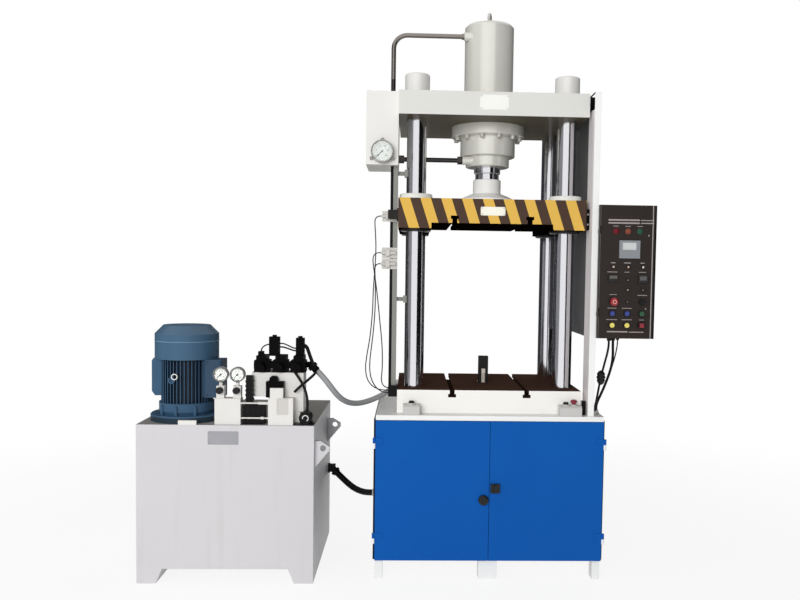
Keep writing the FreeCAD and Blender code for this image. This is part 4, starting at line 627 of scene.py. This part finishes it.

# %% [markdown]
# The table's dark top has an oily film in patches. The bushes are black below the platen, the
# crown's underside is painted darker as painted shade, and the tank's lid is greyer than its walls.
# Painted shade darkens the motor between its fins, and the sensor bar has a black strip down its left
# edge.

# %% Faces of the table, crown, tank, motor and bar
FIN_SHADE_RADIUS = 112 * MM
FINS_START = TANK_TOP + 82 * MM
BLACK_STRIP_WIDTH = 13 * MM
tree = paints["bed_paint"].node_tree
way, spot = face_way(tree), place_parts(tree)
is_side = less_than(tree, calculate(tree, "ABSOLUTE", way["Y"]), FLAT)
slot_walls = product(tree, is_side, less_than(tree, distance_from(tree, spot["X"], PRESS.x), SLOTS_REACH))
table_dark = either(tree, more_than(tree, way["Z"], FLAT), slot_walls)
oil_film = product(tree, noise(tree, object_place(tree), 5.0, 5.0, 0.6), 0.45)
repaint("bed_paint", table_dark, (70, 50, 42), 0.6, 0.0)
repaint("bed_paint", product(tree, table_dark, oil_film), (98, 74, 62))

tree = paints["bush_paint"].node_tree
repaint("bush_paint", less_than(tree, place_parts(tree)["Z"], low("platen").z + 2 * MM), (26, 25, 25))

# painted shade: the crown's underside is painted darker
tree = paints["crown_paint"].node_tree
repaint("crown_paint", less_than(tree, face_way(tree)["Z"], -FLAT), (92, 85, 68), DULL, 0.1)

tree = paints["tank_white"].node_tree
repaint("tank_white", more_than(tree, face_way(tree)["Z"], FLAT), (150, 147, 143), DULL, 0.15)

# painted shade: the motor body is painted dark near its shaft, between the fins
tree = paints["fin_blue"].node_tree
spot = place_parts(tree)
from_shaft = radius_from(tree, spot["X"], spot["Y"], MOTOR.x, MOTOR.y)
fin_gap_shade = product(tree, less_than(tree, from_shaft, FIN_SHADE_RADIUS), more_than(tree, spot["Z"], FINS_START))
repaint("fin_blue", fin_gap_shade, (16, 26, 38), DULL, 0.1)

tree = paints["bar_paint"].node_tree
black_strip = less_than(tree, place_parts(tree)["X"], low("switch_bar").x + BLACK_STRIP_WIDTH)
repaint("bar_paint", black_strip, (18, 18, 19), 0.5, 0.15)
print("dark table, two-part bushes, dark gaps between fins")

# %% [markdown]
# Other pieces change finish at a place, not at a face: the cable duct is painted black at its mouth,
# partly as painted shade and partly for the dark cables inside, and its inside faces are a little
# darker and pinker as painted shade. The foot block of the sensor bar and the junction box of the
# stations are black, and the motor's terminal box is a duller blue. Painted shade darkens part of the
# valve manifold, and painted highlights light a narrow strip down the ejector pin and a strip near the
# control door's folded edge. A box mask is 1 inside two corners, and it is made of six comparisons.

# %% Box masks
def repaint_box(name, first, last, *look):
    tree = paints[name].node_tree
    spot = place_parts(tree)
    mask = None
    for axis, least, most in zip("XYZ", first, last):
        between = product(tree, more_than(tree, spot[axis], least), less_than(tree, spot[axis], most))
        mask = between if mask is None else product(tree, mask, between)
    repaint(name, mask, *look)


SHEET = 2.2
MOUTH_DEPTH = 74 * MM
BOX_FROM_SHAFT = 84 * MM
ROUND_MOTOR = 400 * MM
FLANGE_TOP = TANK_TOP + 24 * MM
PIN_HIGHLIGHT_HALF = 9 * MM
PIN_HIGHLIGHT_TOP = BED_TOP + 66 * MM
duct_low = low("duct_post") + Vector((-1, SHEET, -1)) * MM
duct_high = high("duct_post") + Vector((-SHEET, -SHEET, 1)) * MM
duct_mouth = (duct_low.x, duct_low.y, duct_high.z - MOUTH_DEPTH)
pin_x, door_x = middle("ejector").x, high("control_door").x
REPAINTED = [
    # painted shade: the duct's inside faces a little darker, and its mouth black, which is shade and dark
    # cables
    ("duct_paint", duct_low, duct_high, (234, 228, 228), 0.6, 0.1),
    ("duct_paint", duct_mouth, duct_high, (16, 16, 17), 0.6, 0.1),
    ("switch_steel", at_press(-600, -400, 800), at_press(-380, 100, 960), (22, 21, 22), 0.5),
    ("station_paint", at_press(417, -500, 700), at_press(560, 100, 1000), (14, 14, 15), 0.5, 0.1),
    ("fin_blue", (MOTOR.x + BOX_FROM_SHAFT, -1, FINS_START), (MOTOR.x + ROUND_MOTOR, 1, TANK_TOP + 1),
     (50, 72, 94), 0.45, 0.15),
    ("fitting_black", at_pack(-300, -420, 690), at_pack(-90, -250, 770), (230, 228, 224)),
    # painted shade: the right part of the valve manifold is painted darker
    ("valve_white", at_pack(225, -420, 754), at_pack(274, -345, 827), (206, 203, 199)),
    ("fin_blue", (MOTOR.x - ROUND_MOTOR, MOTOR.y - ROUND_MOTOR, TANK_TOP - 1 * MM),
     (MOTOR.x + ROUND_MOTOR, MOTOR.y + ROUND_MOTOR, FLANGE_TOP), (40, 54, 66), 0.5, 0.15),
    ("gauge_white", at_pack(-62, -362, 890), at_pack(83, -338, 962), (120, 118, 118), 0.35, 0.5),
    ("pipe_steel", at_press(-600, -400, 1700), at_press(600, 400, 2300), (74, 70, 70)),
    # painted highlight: a narrow light strip down the middle of the ejector pin
    ("pin_steel", (pin_x - PIN_HIGHLIGHT_HALF, -1, 0), (pin_x + PIN_HIGHLIGHT_HALF, 1, PIN_HIGHLIGHT_TOP), (206, 196, 184), 0.25, 0.5),
    # painted highlight: a light strip where the control door's folded edge catches the light
    ("door_dark", (door_x - 12 * MM, -1, 0), (door_x - 8 * MM, 1, 3), (168, 163, 163)),
]
for entry in REPAINTED:
    repaint_box(*entry)
print("boxes repainted", len(REPAINTED))

# %% [markdown]
# The panel's lamps, display, timer, counter and small modules are one CAD piece, so one material
# tells them apart by place. Each entry below is a rectangle on the panel, in millimetres from the
# panel's middle and from the floor, with its colour. The head of the emergency stop gets its pale
# ring.

# %% Panel instruments
PANEL_X = 591
PANEL_SPOTS = {
    "lamp_red": (-66, 1568, -40, 1594, (112, 18, 30)),
    "lamp_amber": (-13, 1568, 13, 1594, (134, 72, 52)),
    "lamp_green": (40, 1568, 66, 1594, (40, 82, 68)),
    "display": (-40, 1460, 56, 1543, (138, 142, 146)),
    "screen": (-24.5, 1499.5, 36.5, 1531.5, (204, 208, 207)),
    "timer": (-86, 1356, -38, 1390, (34, 31, 31)),
    "timer_window": (-79, 1372, -45, 1385, (96, 92, 90)),
    "counter": (49, 1353, 93, 1391, (38, 35, 35)),
    "counter_window": (55.5, 1365.5, 86.5, 1384.5, (92, 92, 92)),
    "module_high_left": (-66, 1420, -58, 1428, (206, 188, 166)),
    "module_high_middle": (0, 1420, 8, 1428, (206, 178, 150)),
    "module_high_right": (66, 1420, 74, 1428, (224, 220, 208)),
    "module_middle": (1, 1363, 7, 1369, (120, 108, 100)),
    "module_low_middle": (1, 1320, 7, 1326, (190, 172, 154)),
    "module_low_right": (69, 1320, 75, 1326, (120, 108, 104)),
    "module_lowest": (2, 1268, 6, 1272, (150, 128, 120)),
}
for left, base, right_end, top, tone in PANEL_SPOTS.values():
    repaint_box("instrument_faces", at_press(PANEL_X + left, -600, base),
                at_press(PANEL_X + right_end, -300, top), tone)
tree = paints["stop_head"].node_tree
spot = place_parts(tree)
stop_middle = at_press(533, 0, 1270)
away = radius_from(tree, spot["X"], spot["Z"], stop_middle.x, stop_middle.z)
in_ring = product(tree, more_than(tree, away, 6 * MM), less_than(tree, away, 9 * MM))
repaint("stop_head", product(tree, in_ring, less_than(tree, face_way(tree)["Y"], -FLAT)), (226, 160, 154))
print("panel spots", len(PANEL_SPOTS))

# %% [markdown]
# The free cords are soft, so smooth curves take the place of the CAD tubes. Each route repeats the
# points that the CAD tube was bent round, in millimetres from the press's own axis, and they become
# the control points of a spline. The order and the end points are set after the points are added,
# because before that the spline would only be straight runs.

# %% Free cords
def cord_curve(name, points, radius, paint, body="machine"):
    data = bpy.data.curves.new(name, "CURVE")
    data.dimensions = "3D"
    data.resolution_u = 8
    data.bevel_depth = radius * MM
    data.bevel_resolution = 5
    data.use_fill_caps = True
    spline = data.splines.new("NURBS")
    spline.points.add(len(points) - 1)
    for control, point in zip(spline.points, points):
        control.co = (*point, 1)
    spline.use_smooth = True
    spline.order_u = 3
    spline.use_endpoint_u = True
    data.materials.append(paints[paint])
    curve = new_object(name, data)
    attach(curve, body)
    return curve


PRESS_CORDS = {
    "conduit_run": ("conduit", 13, 0.646, "medium", "conduit_grey", [
        (-784, -300, 934), (-756, -300, 906), (-728, -292, 868), (-701, -268, 826), (-672, -230, 790),
        (-640, -182, 769), (-603, -130, 760), (-562, -80, 764), (-520, -34, 775), (-484, 6, 791),
        (-458, 46, 806), (-446, 88, 812), (-446, 130, 812)]),
    "oil_hose_run": ("oil_hose", 16, 0.217, "stiff", "hose_black", [
        (-735, 247, 334), (-716, 247, 315), (-696, 245, 296.5), (-675.5, 241.5, 279), (-654, 236, 263.5),
        (-630.5, 231, 251), (-605, 226.5, 242.5), (-578, 224, 238), (-551, 224, 238)]),
    "sensor_wire_top": ("sensor_cables", 2.5, 0.882, "limp", "wire_black", [
        (-504, -265, 1640), (-514, -265, 1640), (-523, -265, 1635), (-529, -266, 1627), (-531, -268, 1615),
        (-530, -270, 1594), (-527, -274, 1556), (-524, -278, 1498), (-526, -280, 1430), (-531, -279, 1360),
        (-535, -278, 1290), (-536, -277, 1220), (-541, -276, 1150), (-548, -274, 1080), (-560, -272, 1012),
        (-568, -270, 950), (-561, -269, 898), (-540, -268, 866), (-513, -267, 850), (-487, -266, 844),
        (-462, -266, 844)]),
    "sensor_wire_middle": ("sensor_cables", 2.5, 0.663, "limp", "wire_black", [
        (-504, -265, 1474), (-516, -265, 1474), (-528, -263, 1469), (-536, -260, 1458), (-539, -256, 1442),
        (-536, -253, 1412), (-528, -251, 1360), (-519, -251, 1296), (-511, -251, 1228), (-504, -251, 1158),
        (-496, -251, 1090), (-491, -251, 1022), (-490, -251, 960), (-492, -251, 920), (-494, -252, 898),
        (-493, -252, 882), (-489, -252, 870), (-481, -252, 860), (-472, -252, 855), (-462, -252, 855)]),
    "sensor_wire_low": ("sensor_cables", 2.5, 0.656, "limp", "wire_black", [
        (-504, -265, 1424), (-512, -265, 1424), (-521, -265, 1420), (-527, -264, 1412), (-529, -263, 1400),
        (-528, -262, 1376), (-526, -261, 1328), (-525, -260, 1264), (-527, -259, 1194), (-532, -258, 1124),
        (-539, -257, 1056), (-547, -256, 992), (-549, -255, 936), (-540, -254, 890), (-521, -253, 857),
        (-500, -252, 839), (-480, -251, 831), (-462, -251, 831)]),
    "panel_cable_main": ("panel_cables", 6, 0.333, "medium", "hose_black", [
        (566, -300, 1089), (566, -300, 1062), (568, -300, 1022), (563, -300, 970), (546, -300, 914),
        (526, -300, 862), (511, -300, 828), (500.5, -300, 804), (496, -300, 786), (496, -300, 768)]),
    "panel_cable_second": ("panel_cables", 5, 0.327, "medium", "hose_black", [
        (540, -330, 1089), (540, -330, 1068), (535, -330, 1034), (522, -331, 984), (507, -333, 924),
        (496, -336, 864), (488, -338, 818), (482, -340, 789), (482, -340, 768)]),
    "panel_cable_thin": ("panel_cables", 3, 0.339, "limp", "hose_black", [
        (592, -280, 1089), (592, -280, 1074), (590, -279, 1051), (583, -276, 1010), (571, -273, 964),
        (559, -270, 922), (545, -267, 882), (531, -263, 850), (518, -259, 824), (506, -254, 803),
        (500, -250, 785), (500, -250, 768)]),
}
for name, (node, radius, length, stiffness, paint, route) in PRESS_CORDS.items():
    points = [at_press(*point) for point in route]
    run = cord_curve(name, points, radius, paint)
    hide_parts(node)
print("cords", len(PRESS_CORDS))

# %% [markdown]
# Short black leads join the valve coils to their connectors. They are too thin for the CAD model, so
# they are drawn only here, each from one fitting to another.

# %% Valve leads
VALVE_LEADS = {
    "lead_bridge_high": (3, [
        (221, -284, 1060), (236, -284, 1061), (254, -284, 1054), (272, -284, 1045), (285, -283, 1040),
        (295, -283, 1038)]),
    "lead_bridge_low": (3.5, [
        (221, -276, 1044), (237, -276, 1044), (254, -276, 1038), (271, -276, 1032), (284, -276, 1028),
        (295, -276, 1027)]),
    "lead_short": (3, [
        (139, -281, 1024), (140, -281, 1034), (147, -281, 1044), (160, -281, 1053), (176, -281, 1056)]),
    "lead_outer": (8, [
        (331, -281, 1052), (341, -281, 1049), (351, -284, 1022), (360, -275, 992), (369, -260, 964),
        (377, -247, 946)]),
    "lead_middle": (5.5, [
        (286, -330, 950), (301, -332, 930), (318, -333, 905), (334, -333, 878), (347, -333, 846),
        (354, -333, 806), (352, -333, 766)]),
    "lead_front": (6, [
        (380, -250, 930), (379, -290, 926), (370, -330, 917), (352, -354, 902), (331, -362, 884),
        (312, -360, 867), (298, -346, 852)]),
}
for name, (radius, route) in VALVE_LEADS.items():
    points = [at_pack(*point) for point in route]
    run = cord_curve(name, points, radius, "hose_black")
print("leads", len(VALVE_LEADS))

# %% [markdown]
# Small parts that are too fine for the CAD model are made with a few helpers, which all lay faces
# between rings of points. A lathe turns a profile round an axis, as the real knobs and glasses are
# turned. A plate is an outline with rounded corners, given a thickness and a small chamfer. A bent
# wire is a ring or a part of one.

# %% Helpers for small parts
SHARP_ANGLE = math.radians(35)
CORNER_STEPS = 4
WIRE_SIDES = 10


def new_piece(name, build, paint, body, smooth=False):
    mesh = bpy.data.meshes.new(name)
    bmesh.ops.recalc_face_normals(build, faces=build.faces)
    build.to_mesh(mesh)
    build.free()
    mesh.materials.append(paints[paint])
    if smooth:
        mesh.shade_smooth()
        mesh.set_sharp_from_angle(angle=SHARP_ANGLE)
    piece = new_object(name, mesh)
    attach(piece, body)


def add_skin(build, rings, closed=False):
    """Faces between neighbouring rings, and a cap on both ends of a row that doesn't close."""
    rings = [[build.verts.new(point) for point in ring] for ring in rings]
    for first, second in zip(rings, rings[1:] + rings[:1] if closed else rings[1:]):
        for index in range(len(first)):
            after = (index + 1) % len(first)
            build.faces.new((first[index], first[after], second[after], second[index]))
    if not closed:
        build.faces.new(rings[0])
        build.faces.new(rings[-1])


def circle(radius, steps):
    angles = [math.tau * step / steps for step in range(steps)]
    return [(radius * math.cos(angle), radius * math.sin(angle)) for angle in angles]


def add_plate(build, least, most, front, thick, corner):
    """A plate between two corners in XZ, with rounded corners and a chamfered front edge."""
    chamfer = min(0.3 * thick, 0.7 * corner)
    left, right_end = least[0] + corner, most[0] - corner
    base, top = least[1] + corner, most[1] - corner
    turns = [(x, z, math.radians(start + 90 * step / CORNER_STEPS)) for x, z, start in (
        (right_end, top, 0), (left, top, 90), (left, base, 180), (right_end, base, 270))
        for step in range(CORNER_STEPS + 1)]
    add_skin(build, [[(x + reach * math.cos(angle), y, z + reach * math.sin(angle)) for x, z, angle in turns]
                     for reach, y in ((corner, front + thick), (corner, front + chamfer),
                                      (corner - chamfer, front))])


def add_lathe(build, profile, place, axis="Y", steps=40):
    """A turned part: points of radius and distance along the axis, the ends close to the axis."""
    add_skin(build, [[place + Vector((x, along, y) if axis == "Y" else (x, y, along))
                      for x, y in circle(radius, steps)] for radius, along in profile])


def add_ring(build, place, radius, wire, turn=Matrix.Identity(3), start=0.0, sweep=math.tau, steps=28):
    """A bent round wire: a ring or part of one, its axis along Y before the turn is applied."""
    closed = sweep == math.tau
    rings = []
    for step in range(steps if closed else steps + 1):
        angle = start + sweep * step / steps
        rings.append([place + turn @ Vector(((radius + out) * math.cos(angle), along,
                                             (radius + out) * math.sin(angle)))
                      for out, along in circle(wire, WIRE_SIDES)])
    add_skin(build, rings, closed)


print("helpers for plates, turned parts and bent wire")

# %% [markdown]
# Rivets and screws repeat, so Geometry Nodes makes them. The tree gets a mesh of loose points, puts a
# head on each, makes the copies real and gives them their material. A head is a short round edge with
# a smaller cone on it, turned to look forwards. A second helper runs a tree once and keeps what it
# made as a plain mesh, because an export drops instances.

# %% Rivets and screws with Geometry Nodes
HEAD_SIDES = 20
UPRIGHT = Matrix.Rotation(math.radians(90), 4, "X")


def new_tree(name, **inputs):
    tree = bpy.data.node_groups.new(name, "GeometryNodeTree")
    tree.interface.new_socket(name="Geometry", in_out="OUTPUT", socket_type="NodeSocketGeometry")
    for label, kind in inputs.items():
        tree.interface.new_socket(name=label, in_out="INPUT", socket_type="NodeSocket" + kind)
    return tree, tree.nodes.new("NodeGroupInput").outputs


def finish_tree(tree, instances, material):
    """Every tree ends so: the instances are made real and get their material."""
    real = add(tree, "GeometryNodeRealizeInstances", {0: instances})
    dressed = add(tree, "GeometryNodeSetMaterial", {0: real.outputs[0], "Material": material})
    add(tree, "NodeGroupOutput", {0: dressed.outputs[0]})
    print("tree", tree.name, "with", len(tree.nodes), "nodes")


def made_real(holder):
    """The mesh that an object's modifiers or letters come to. The object itself goes."""
    mesh = bpy.data.meshes.new_from_object(holder.evaluated_get(bpy.context.evaluated_depsgraph_get()))
    holder.modifiers.clear()
    bpy.data.objects.remove(holder)
    return mesh


def grow(tree, name, values, body, points=(), place=None):
    """Runs a tree on the points and keeps the result as a mesh that rides on a body."""
    mesh = bpy.data.meshes.new(name + "_points")
    mesh.from_pydata([Vector(point) for point in points], [], [])
    holder = new_object(name + "_points", mesh)
    modifier = holder.modifiers.new("grow", "NODES")
    modifier.node_group = tree
    for socket in tree.interface.items_tree:
        if socket.in_out == "INPUT" and socket.name in values:
            modifier[socket.identifier] = values[socket.name]
    made = made_real(holder)
    if place is not None:
        made.transform(Matrix.Translation(place) @ UPRIGHT)
    piece = new_object(name, made)
    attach(piece, body)


heads, given = new_tree("fastener_heads", Points="Geometry", Radius="Float", Edge="Float", Dome="Float",
                        Material="Material")
edge = add(heads, "GeometryNodeMeshCylinder", {"Vertices": HEAD_SIDES, "Radius": given["Radius"],
                                               "Depth": given["Edge"]})
dome = add(heads, "GeometryNodeMeshCone", {
    "Vertices": HEAD_SIDES, "Radius Bottom": product(heads, given["Radius"], 0.92),
    "Radius Top": product(heads, given["Radius"], 0.55), "Depth": given["Dome"]})
lift = add(heads, "ShaderNodeCombineXYZ", {"Z": product(heads, given["Edge"], 0.45)})
lifted = add(heads, "GeometryNodeTransform", {"Geometry": dome.outputs[0], "Translation": lift.outputs[0]})
head = add(heads, "GeometryNodeJoinGeometry", {0: edge.outputs[0]})
heads.links.new(lifted.outputs[0], head.inputs[0])
forwards = add(heads, "GeometryNodeTransform", {"Geometry": head.outputs[0],
                                                "Rotation": (math.radians(90), 0, 0)})
spread = add(heads, "GeometryNodeInstanceOnPoints", {"Points": given["Points"],
                                                     "Instance": forwards.outputs[0]})
finish_tree(heads, spread.outputs[0], given["Material"])


def fasteners(name, places, radius, body):
    values = {"Radius": radius, "Edge": 0.7 * radius, "Dome": 0.5 * radius, "Material": paints["rivet_steel"]}
    grow(heads, name, values, body, points=places)


# %% [markdown]
# Blank plates are riveted to the crown, the platen and the tank. Each entry is the plate's finish and
# body, the face it lies on, and its left, right, lower and upper edges.

# %% Riveted plates
PLATE_THICK = 1.1 * MM
PLATE_STANDS_OUT = 1.2 * MM
PLATE_CORNER = 5 * MM
RIVET_INSET = 6 * MM
RIVET_RADIUS = 2.6 * MM
PLATES = {
    "crown_plate_blank": ("plate_white", "machine", "crown_plate", at_press, (-66, 64, 2116, 2182)),
    "platen_plate_blank": ("plate_ivory", "platen_group", "platen", at_press, (-54, 57, 1647, 1686)),
    "tank_plate_blank": ("plate_silver", "machine", "tank", at_pack, (-76, 57, 620, 679)),
}
for name, (paint, body, carrier, place, (left, right_end, base, top)) in PLATES.items():
    face = low(carrier).y
    least, most = place(left, 0, base), place(right_end, 0, top)
    build = bmesh.new()
    add_plate(build, (least.x, least.z), (most.x, most.z), face - PLATE_STANDS_OUT, PLATE_THICK, PLATE_CORNER)
    new_piece(name, build, paint, body)
    places = [(x, face - 1.6 * MM, z) for x in (least.x + RIVET_INSET, most.x - RIVET_INSET)
              for z in (least.z + RIVET_INSET, most.z - RIVET_INSET)]
    fasteners(name + "_rivets", places, RIVET_RADIUS, body)
print("plates", sorted(PLATES))

# %% [markdown]
# A gauge's scale is a ring of marks that repeat, every fifth one longer. Geometry Nodes makes it: one
# small bar is instanced round an arc, and the arc, the count and the sizes are named inputs, so the
# same recipe draws all three dials. The instances are then made real and given the ink material.

# %% Dial marks with Geometry Nodes
LONG_MARK = 1.9
marks, given = new_tree("dial_marks", Count="Int", Radius="Float", Length="Float", Width="Float",
                        Material="Material")
arc = add(marks, "GeometryNodeCurveArc", {
    "Start Angle": math.radians(-45), "Sweep Angle": math.radians(270), "Resolution": given["Count"],
    "Radius": given["Radius"]})
spots = add(marks, "GeometryNodeCurveToPoints", {0: arc.outputs[0]}, mode="EVALUATED")
sizes = add(marks, "ShaderNodeCombineXYZ", {0: given["Width"], 1: given["Length"], 2: 0.2 * MM})
bar = add(marks, "GeometryNodeMeshCube", {"Size": sizes.outputs[0]})
outward = add(marks, "FunctionNodeAlignRotationToVector",
              {"Vector": add(marks, "GeometryNodeInputPosition").outputs[0]}, axis="Y")
fifth = calculate(marks, "MODULO", add(marks, "GeometryNodeInputIndex").outputs[0], 5.0)
longer = add(marks, "ShaderNodeMapRange", {"Value": less_than(marks, fifth, 0.5), "To Min": 1.0,
                                           "To Max": LONG_MARK})
scale = add(marks, "ShaderNodeCombineXYZ", {0: 1.0, 1: longer.outputs[0], 2: 1.0})
spread = add(marks, "GeometryNodeInstanceOnPoints", {
    "Points": spots.outputs["Points"], "Instance": bar.outputs["Mesh"], "Rotation": outward.outputs[0],
    "Scale": scale.outputs[0]})
finish_tree(marks, spread.outputs[0], given["Material"])

# %% [markdown]
# Each gauge gets a printed white dial a little in front of the CAD one, plain numbers round the
# scale, and a glass. The pointer and its hub are CAD pieces that turn between the dial and the glass.

# %% Dials, numbers and glasses
DIAL_STEPS = 64
FIRST_NUMBER_AT, NUMBERS_TURN = 225, 270
MARKS_RADIUS, MARK_LENGTH, MARK_WIDTH = 0.84, 0.09, 0.022
NUMBERS_RADIUS, NUMBER_SIZE = 0.58, 0.24
PAPER = 0.2 * MM
HUB_HOLE = 2.4 * MM
GLASS_BACK, GLASS_RIM, GLASS_FRONT = -7.4 * MM, -8.6 * MM, -9.0 * MM
paints["gauge_glass"] = bpy.data.materials.new("gauge_glass")
paints["gauge_glass"].use_nodes = True
tree = paints["gauge_glass"].node_tree
inputs = tree.nodes["Principled BSDF"].inputs
inputs["Transmission Weight"].default_value = 1.0
inputs["IOR"].default_value = 1.08
inputs["Specular IOR Level"].default_value = 0.5
smear = noise(tree, object_place(tree), 60.0, 3.0)
tree.links.new(product(tree, smear, 0.08), inputs["Roughness"])
tree.links.new(mix_colour(tree, smear, colour(252, 253, 252), colour(240, 244, 242)), inputs["Base Color"])


def printed_dial(name, place, radius, numbered_steps, top_number, paper, body="machine"):
    """place is the middle of the CAD dial's face; the dial looks towards -Y."""
    build = bmesh.new()
    add_lathe(build, [(0.4 * MM, 0), (radius, 0), (radius, -PAPER), (HUB_HOLE, -PAPER), (HUB_HOLE, 0)], place,
              steps=DIAL_STEPS)
    new_piece(name + "_dial", build, paper, body)
    values = {"Count": numbered_steps * 5 + 1, "Radius": MARKS_RADIUS * radius,
              "Length": MARK_LENGTH * radius, "Width": MARK_WIDTH * radius, "Material": paints["ink_black"]}
    grow(marks, name + "_marks", values, body, place=place - Vector((0, 0.3 * MM, 0)))
    for step in range(numbered_steps + 1):
        angle = math.radians(FIRST_NUMBER_AT - NUMBERS_TURN * step / numbered_steps)
        letters = bpy.data.curves.new(name, "FONT")
        letters.body = str(top_number * step // numbered_steps)
        letters.size = NUMBER_SIZE * radius
        letters.align_x = letters.align_y = "CENTER"
        letters.extrude = 0.05 * MM
        made = made_real(new_object(name, letters))
        reach = NUMBERS_RADIUS * radius
        offset = Vector((reach * math.cos(angle), -0.35 * MM, reach * math.sin(angle)))
        made.transform(Matrix.Translation(place + offset) @ UPRIGHT)
        made.materials.clear()
        made.materials.append(paints["ink_black"])
        figure = new_object(f"{name}_number_{step}", made)
        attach(figure, body)
    build = bmesh.new()
    add_lathe(build, [(0.2 * MM, GLASS_BACK), (radius, GLASS_BACK), (radius, GLASS_RIM),
                      (radius * 0.97, -8.9 * MM), (0.2 * MM, GLASS_FRONT)], place, steps=DIAL_STEPS)
    new_piece(name + "_glass", build, "gauge_glass", body, smooth=True)


DIAL_DEPTH = 9.7
press_dial = at_press(-499, -345 + DIAL_DEPTH, 1923)
printed_dial("press_gauge_print", press_dial, 44.6 * MM, 5, 40, "dial_grey")
for side, x in (("left", -26), ("right", 47)):
    pack_dial = at_pack(x, -357 + DIAL_DEPTH, 926)
    printed_dial(f"pack_gauge_{side}_print", pack_dial, 27.6 * MM, 5, 25, "dial_white")
print("dials at", press_dial)

# %% [markdown]
# The photograph also shows small things on the surfaces: a sleeve on the panel cable, screws and
# blank label strips on the control door, a black bracket on the platen's side, the motor's ring, the
# bead round its cowl, and a foot for the drain fitting. The bead is painted a lighter blue as a
# painted highlight, and a white part-ring on the drain fitting is a painted highlight. Each sits on
# what carries it. A row of label strips is given by its lower edge, its height and the ends of each
# strip.

# %% Screws, label strips, sleeve and rings
LABEL_FRONT = at_press(0, -422.7, 0).y
LABEL_THICK = 0.7 * MM
LABEL_CORNER = 1.2 * MM
BRACKET_DEPTH = 46 * MM
RING_LIFT = 208 * MM
FOOT_HEIGHT = 5 * MM
BEAD_DROP = 70 * MM
LABEL_ROWS = [
    (1627, 7, [(503, 642)]), (1628, 4, [(647, 706)]), (1614, 7, [(503, 642)]), (1615, 5, [(647, 706)]),
    (1602, 3, [(524, 548), (578, 602), (632, 656)]), (1440, 4, [(519, 539), (577, 607), (650, 668)]),
    (1400, 3, [(503, 548), (580, 602), (644, 676)]), (1300, 3, [(516, 548)]), (1298, 3, [(640, 684)]),
    (1240, 3, [(508, 548), (572, 616)]), (1189, 3, [(504, 552), (572, 618), (650, 672)]),
    (1134, 6, [(508, 600)]), (1134, 4, [(606, 672)]),
]
SLEEVE = [(5.2, -34), (13, -28), (19, -14), (17, -8), (21, 0), (17, 8), (19, 16), (12, 26), (5.2, 31)]

fasteners("control_door_screws", [at_press(684, -423, 1564), at_press(678, -423, 1241)], 4 * MM,
          "control_door_group")

side, front = high("platen").x, low("platen").y
base, top = at_press(0, 0, 1590).z, at_press(0, 0, 1683).z
build = bmesh.new()
add_plate(build, (side - 1 * MM, base), (side + 15 * MM, top), front + 1 * MM, BRACKET_DEPTH, 3 * MM)
new_piece("platen_side_bracket", build, "valve_black", "platen_group")
fasteners("platen_side_bracket_screws", [(side + 7 * MM, front + 0.6 * MM, base + lift * MM)
                                         for lift in (24, 69)], 4.5 * MM, "platen_group")

build = bmesh.new()
for base, tall, strips in LABEL_ROWS:
    for left, right_end in strips:
        least, most = at_press(left, 0, base), at_press(right_end, 0, base + tall)
        add_plate(build, (least.x, least.z), (most.x, most.z), LABEL_FRONT, LABEL_THICK, LABEL_CORNER)
new_piece("blank_labels", build, "label_grey", "control_door_group")

build = bmesh.new()
add_lathe(build, [(radius * MM, along * MM) for radius, along in SLEEVE], at_press(507, -333, 922), axis="Z",
          steps=28)
new_piece("panel_cable_sleeve", build, "tie_black", "machine", smooth=True)

build = bmesh.new()
ring_place = Vector((MOTOR.x - 14 * MM, low("motor_body").y - 1 * MM, TANK_TOP + RING_LIFT))
add_ring(build, ring_place, 12 * MM, 2.4 * MM)
new_piece("motor_ring", build, "ring_white", "machine", smooth=True)

# painted highlight: a white part-ring on the drain fitting's black boss
build = bmesh.new()
add_ring(build, at_pack(348, -369.4, 738), 12.5 * MM, 2.2 * MM, start=math.radians(-60),
         sweep=math.radians(250))
new_piece("drain_fitting_highlight_ring", build, "ring_white", "machine", smooth=True)

build = bmesh.new()
add_plate(build, (at_pack(297, 0, 0).x, TANK_TOP), (at_pack(384, 0, 0).x, TANK_TOP + FOOT_HEIGHT),
          low("tank").y + 5 * MM, 60 * MM, 1.5 * MM)
new_piece("drain_fitting_foot", build, "tie_black", "machine")

# painted highlight: the bead round the cowl is painted a lighter blue along its whole length
build = bmesh.new()
cowl = middle("motor_cowl")
bead_place = Vector((cowl.x, cowl.y, high("motor_cowl").z - BEAD_DROP))
add_ring(build, bead_place, high("motor_cowl").x - cowl.x, 1.7 * MM, UPRIGHT.to_3x3(), steps=72)
new_piece("motor_cowl_bead", build, "bead_highlight_blue", "machine", smooth=True)
print("rows of label strips", len(LABEL_ROWS))
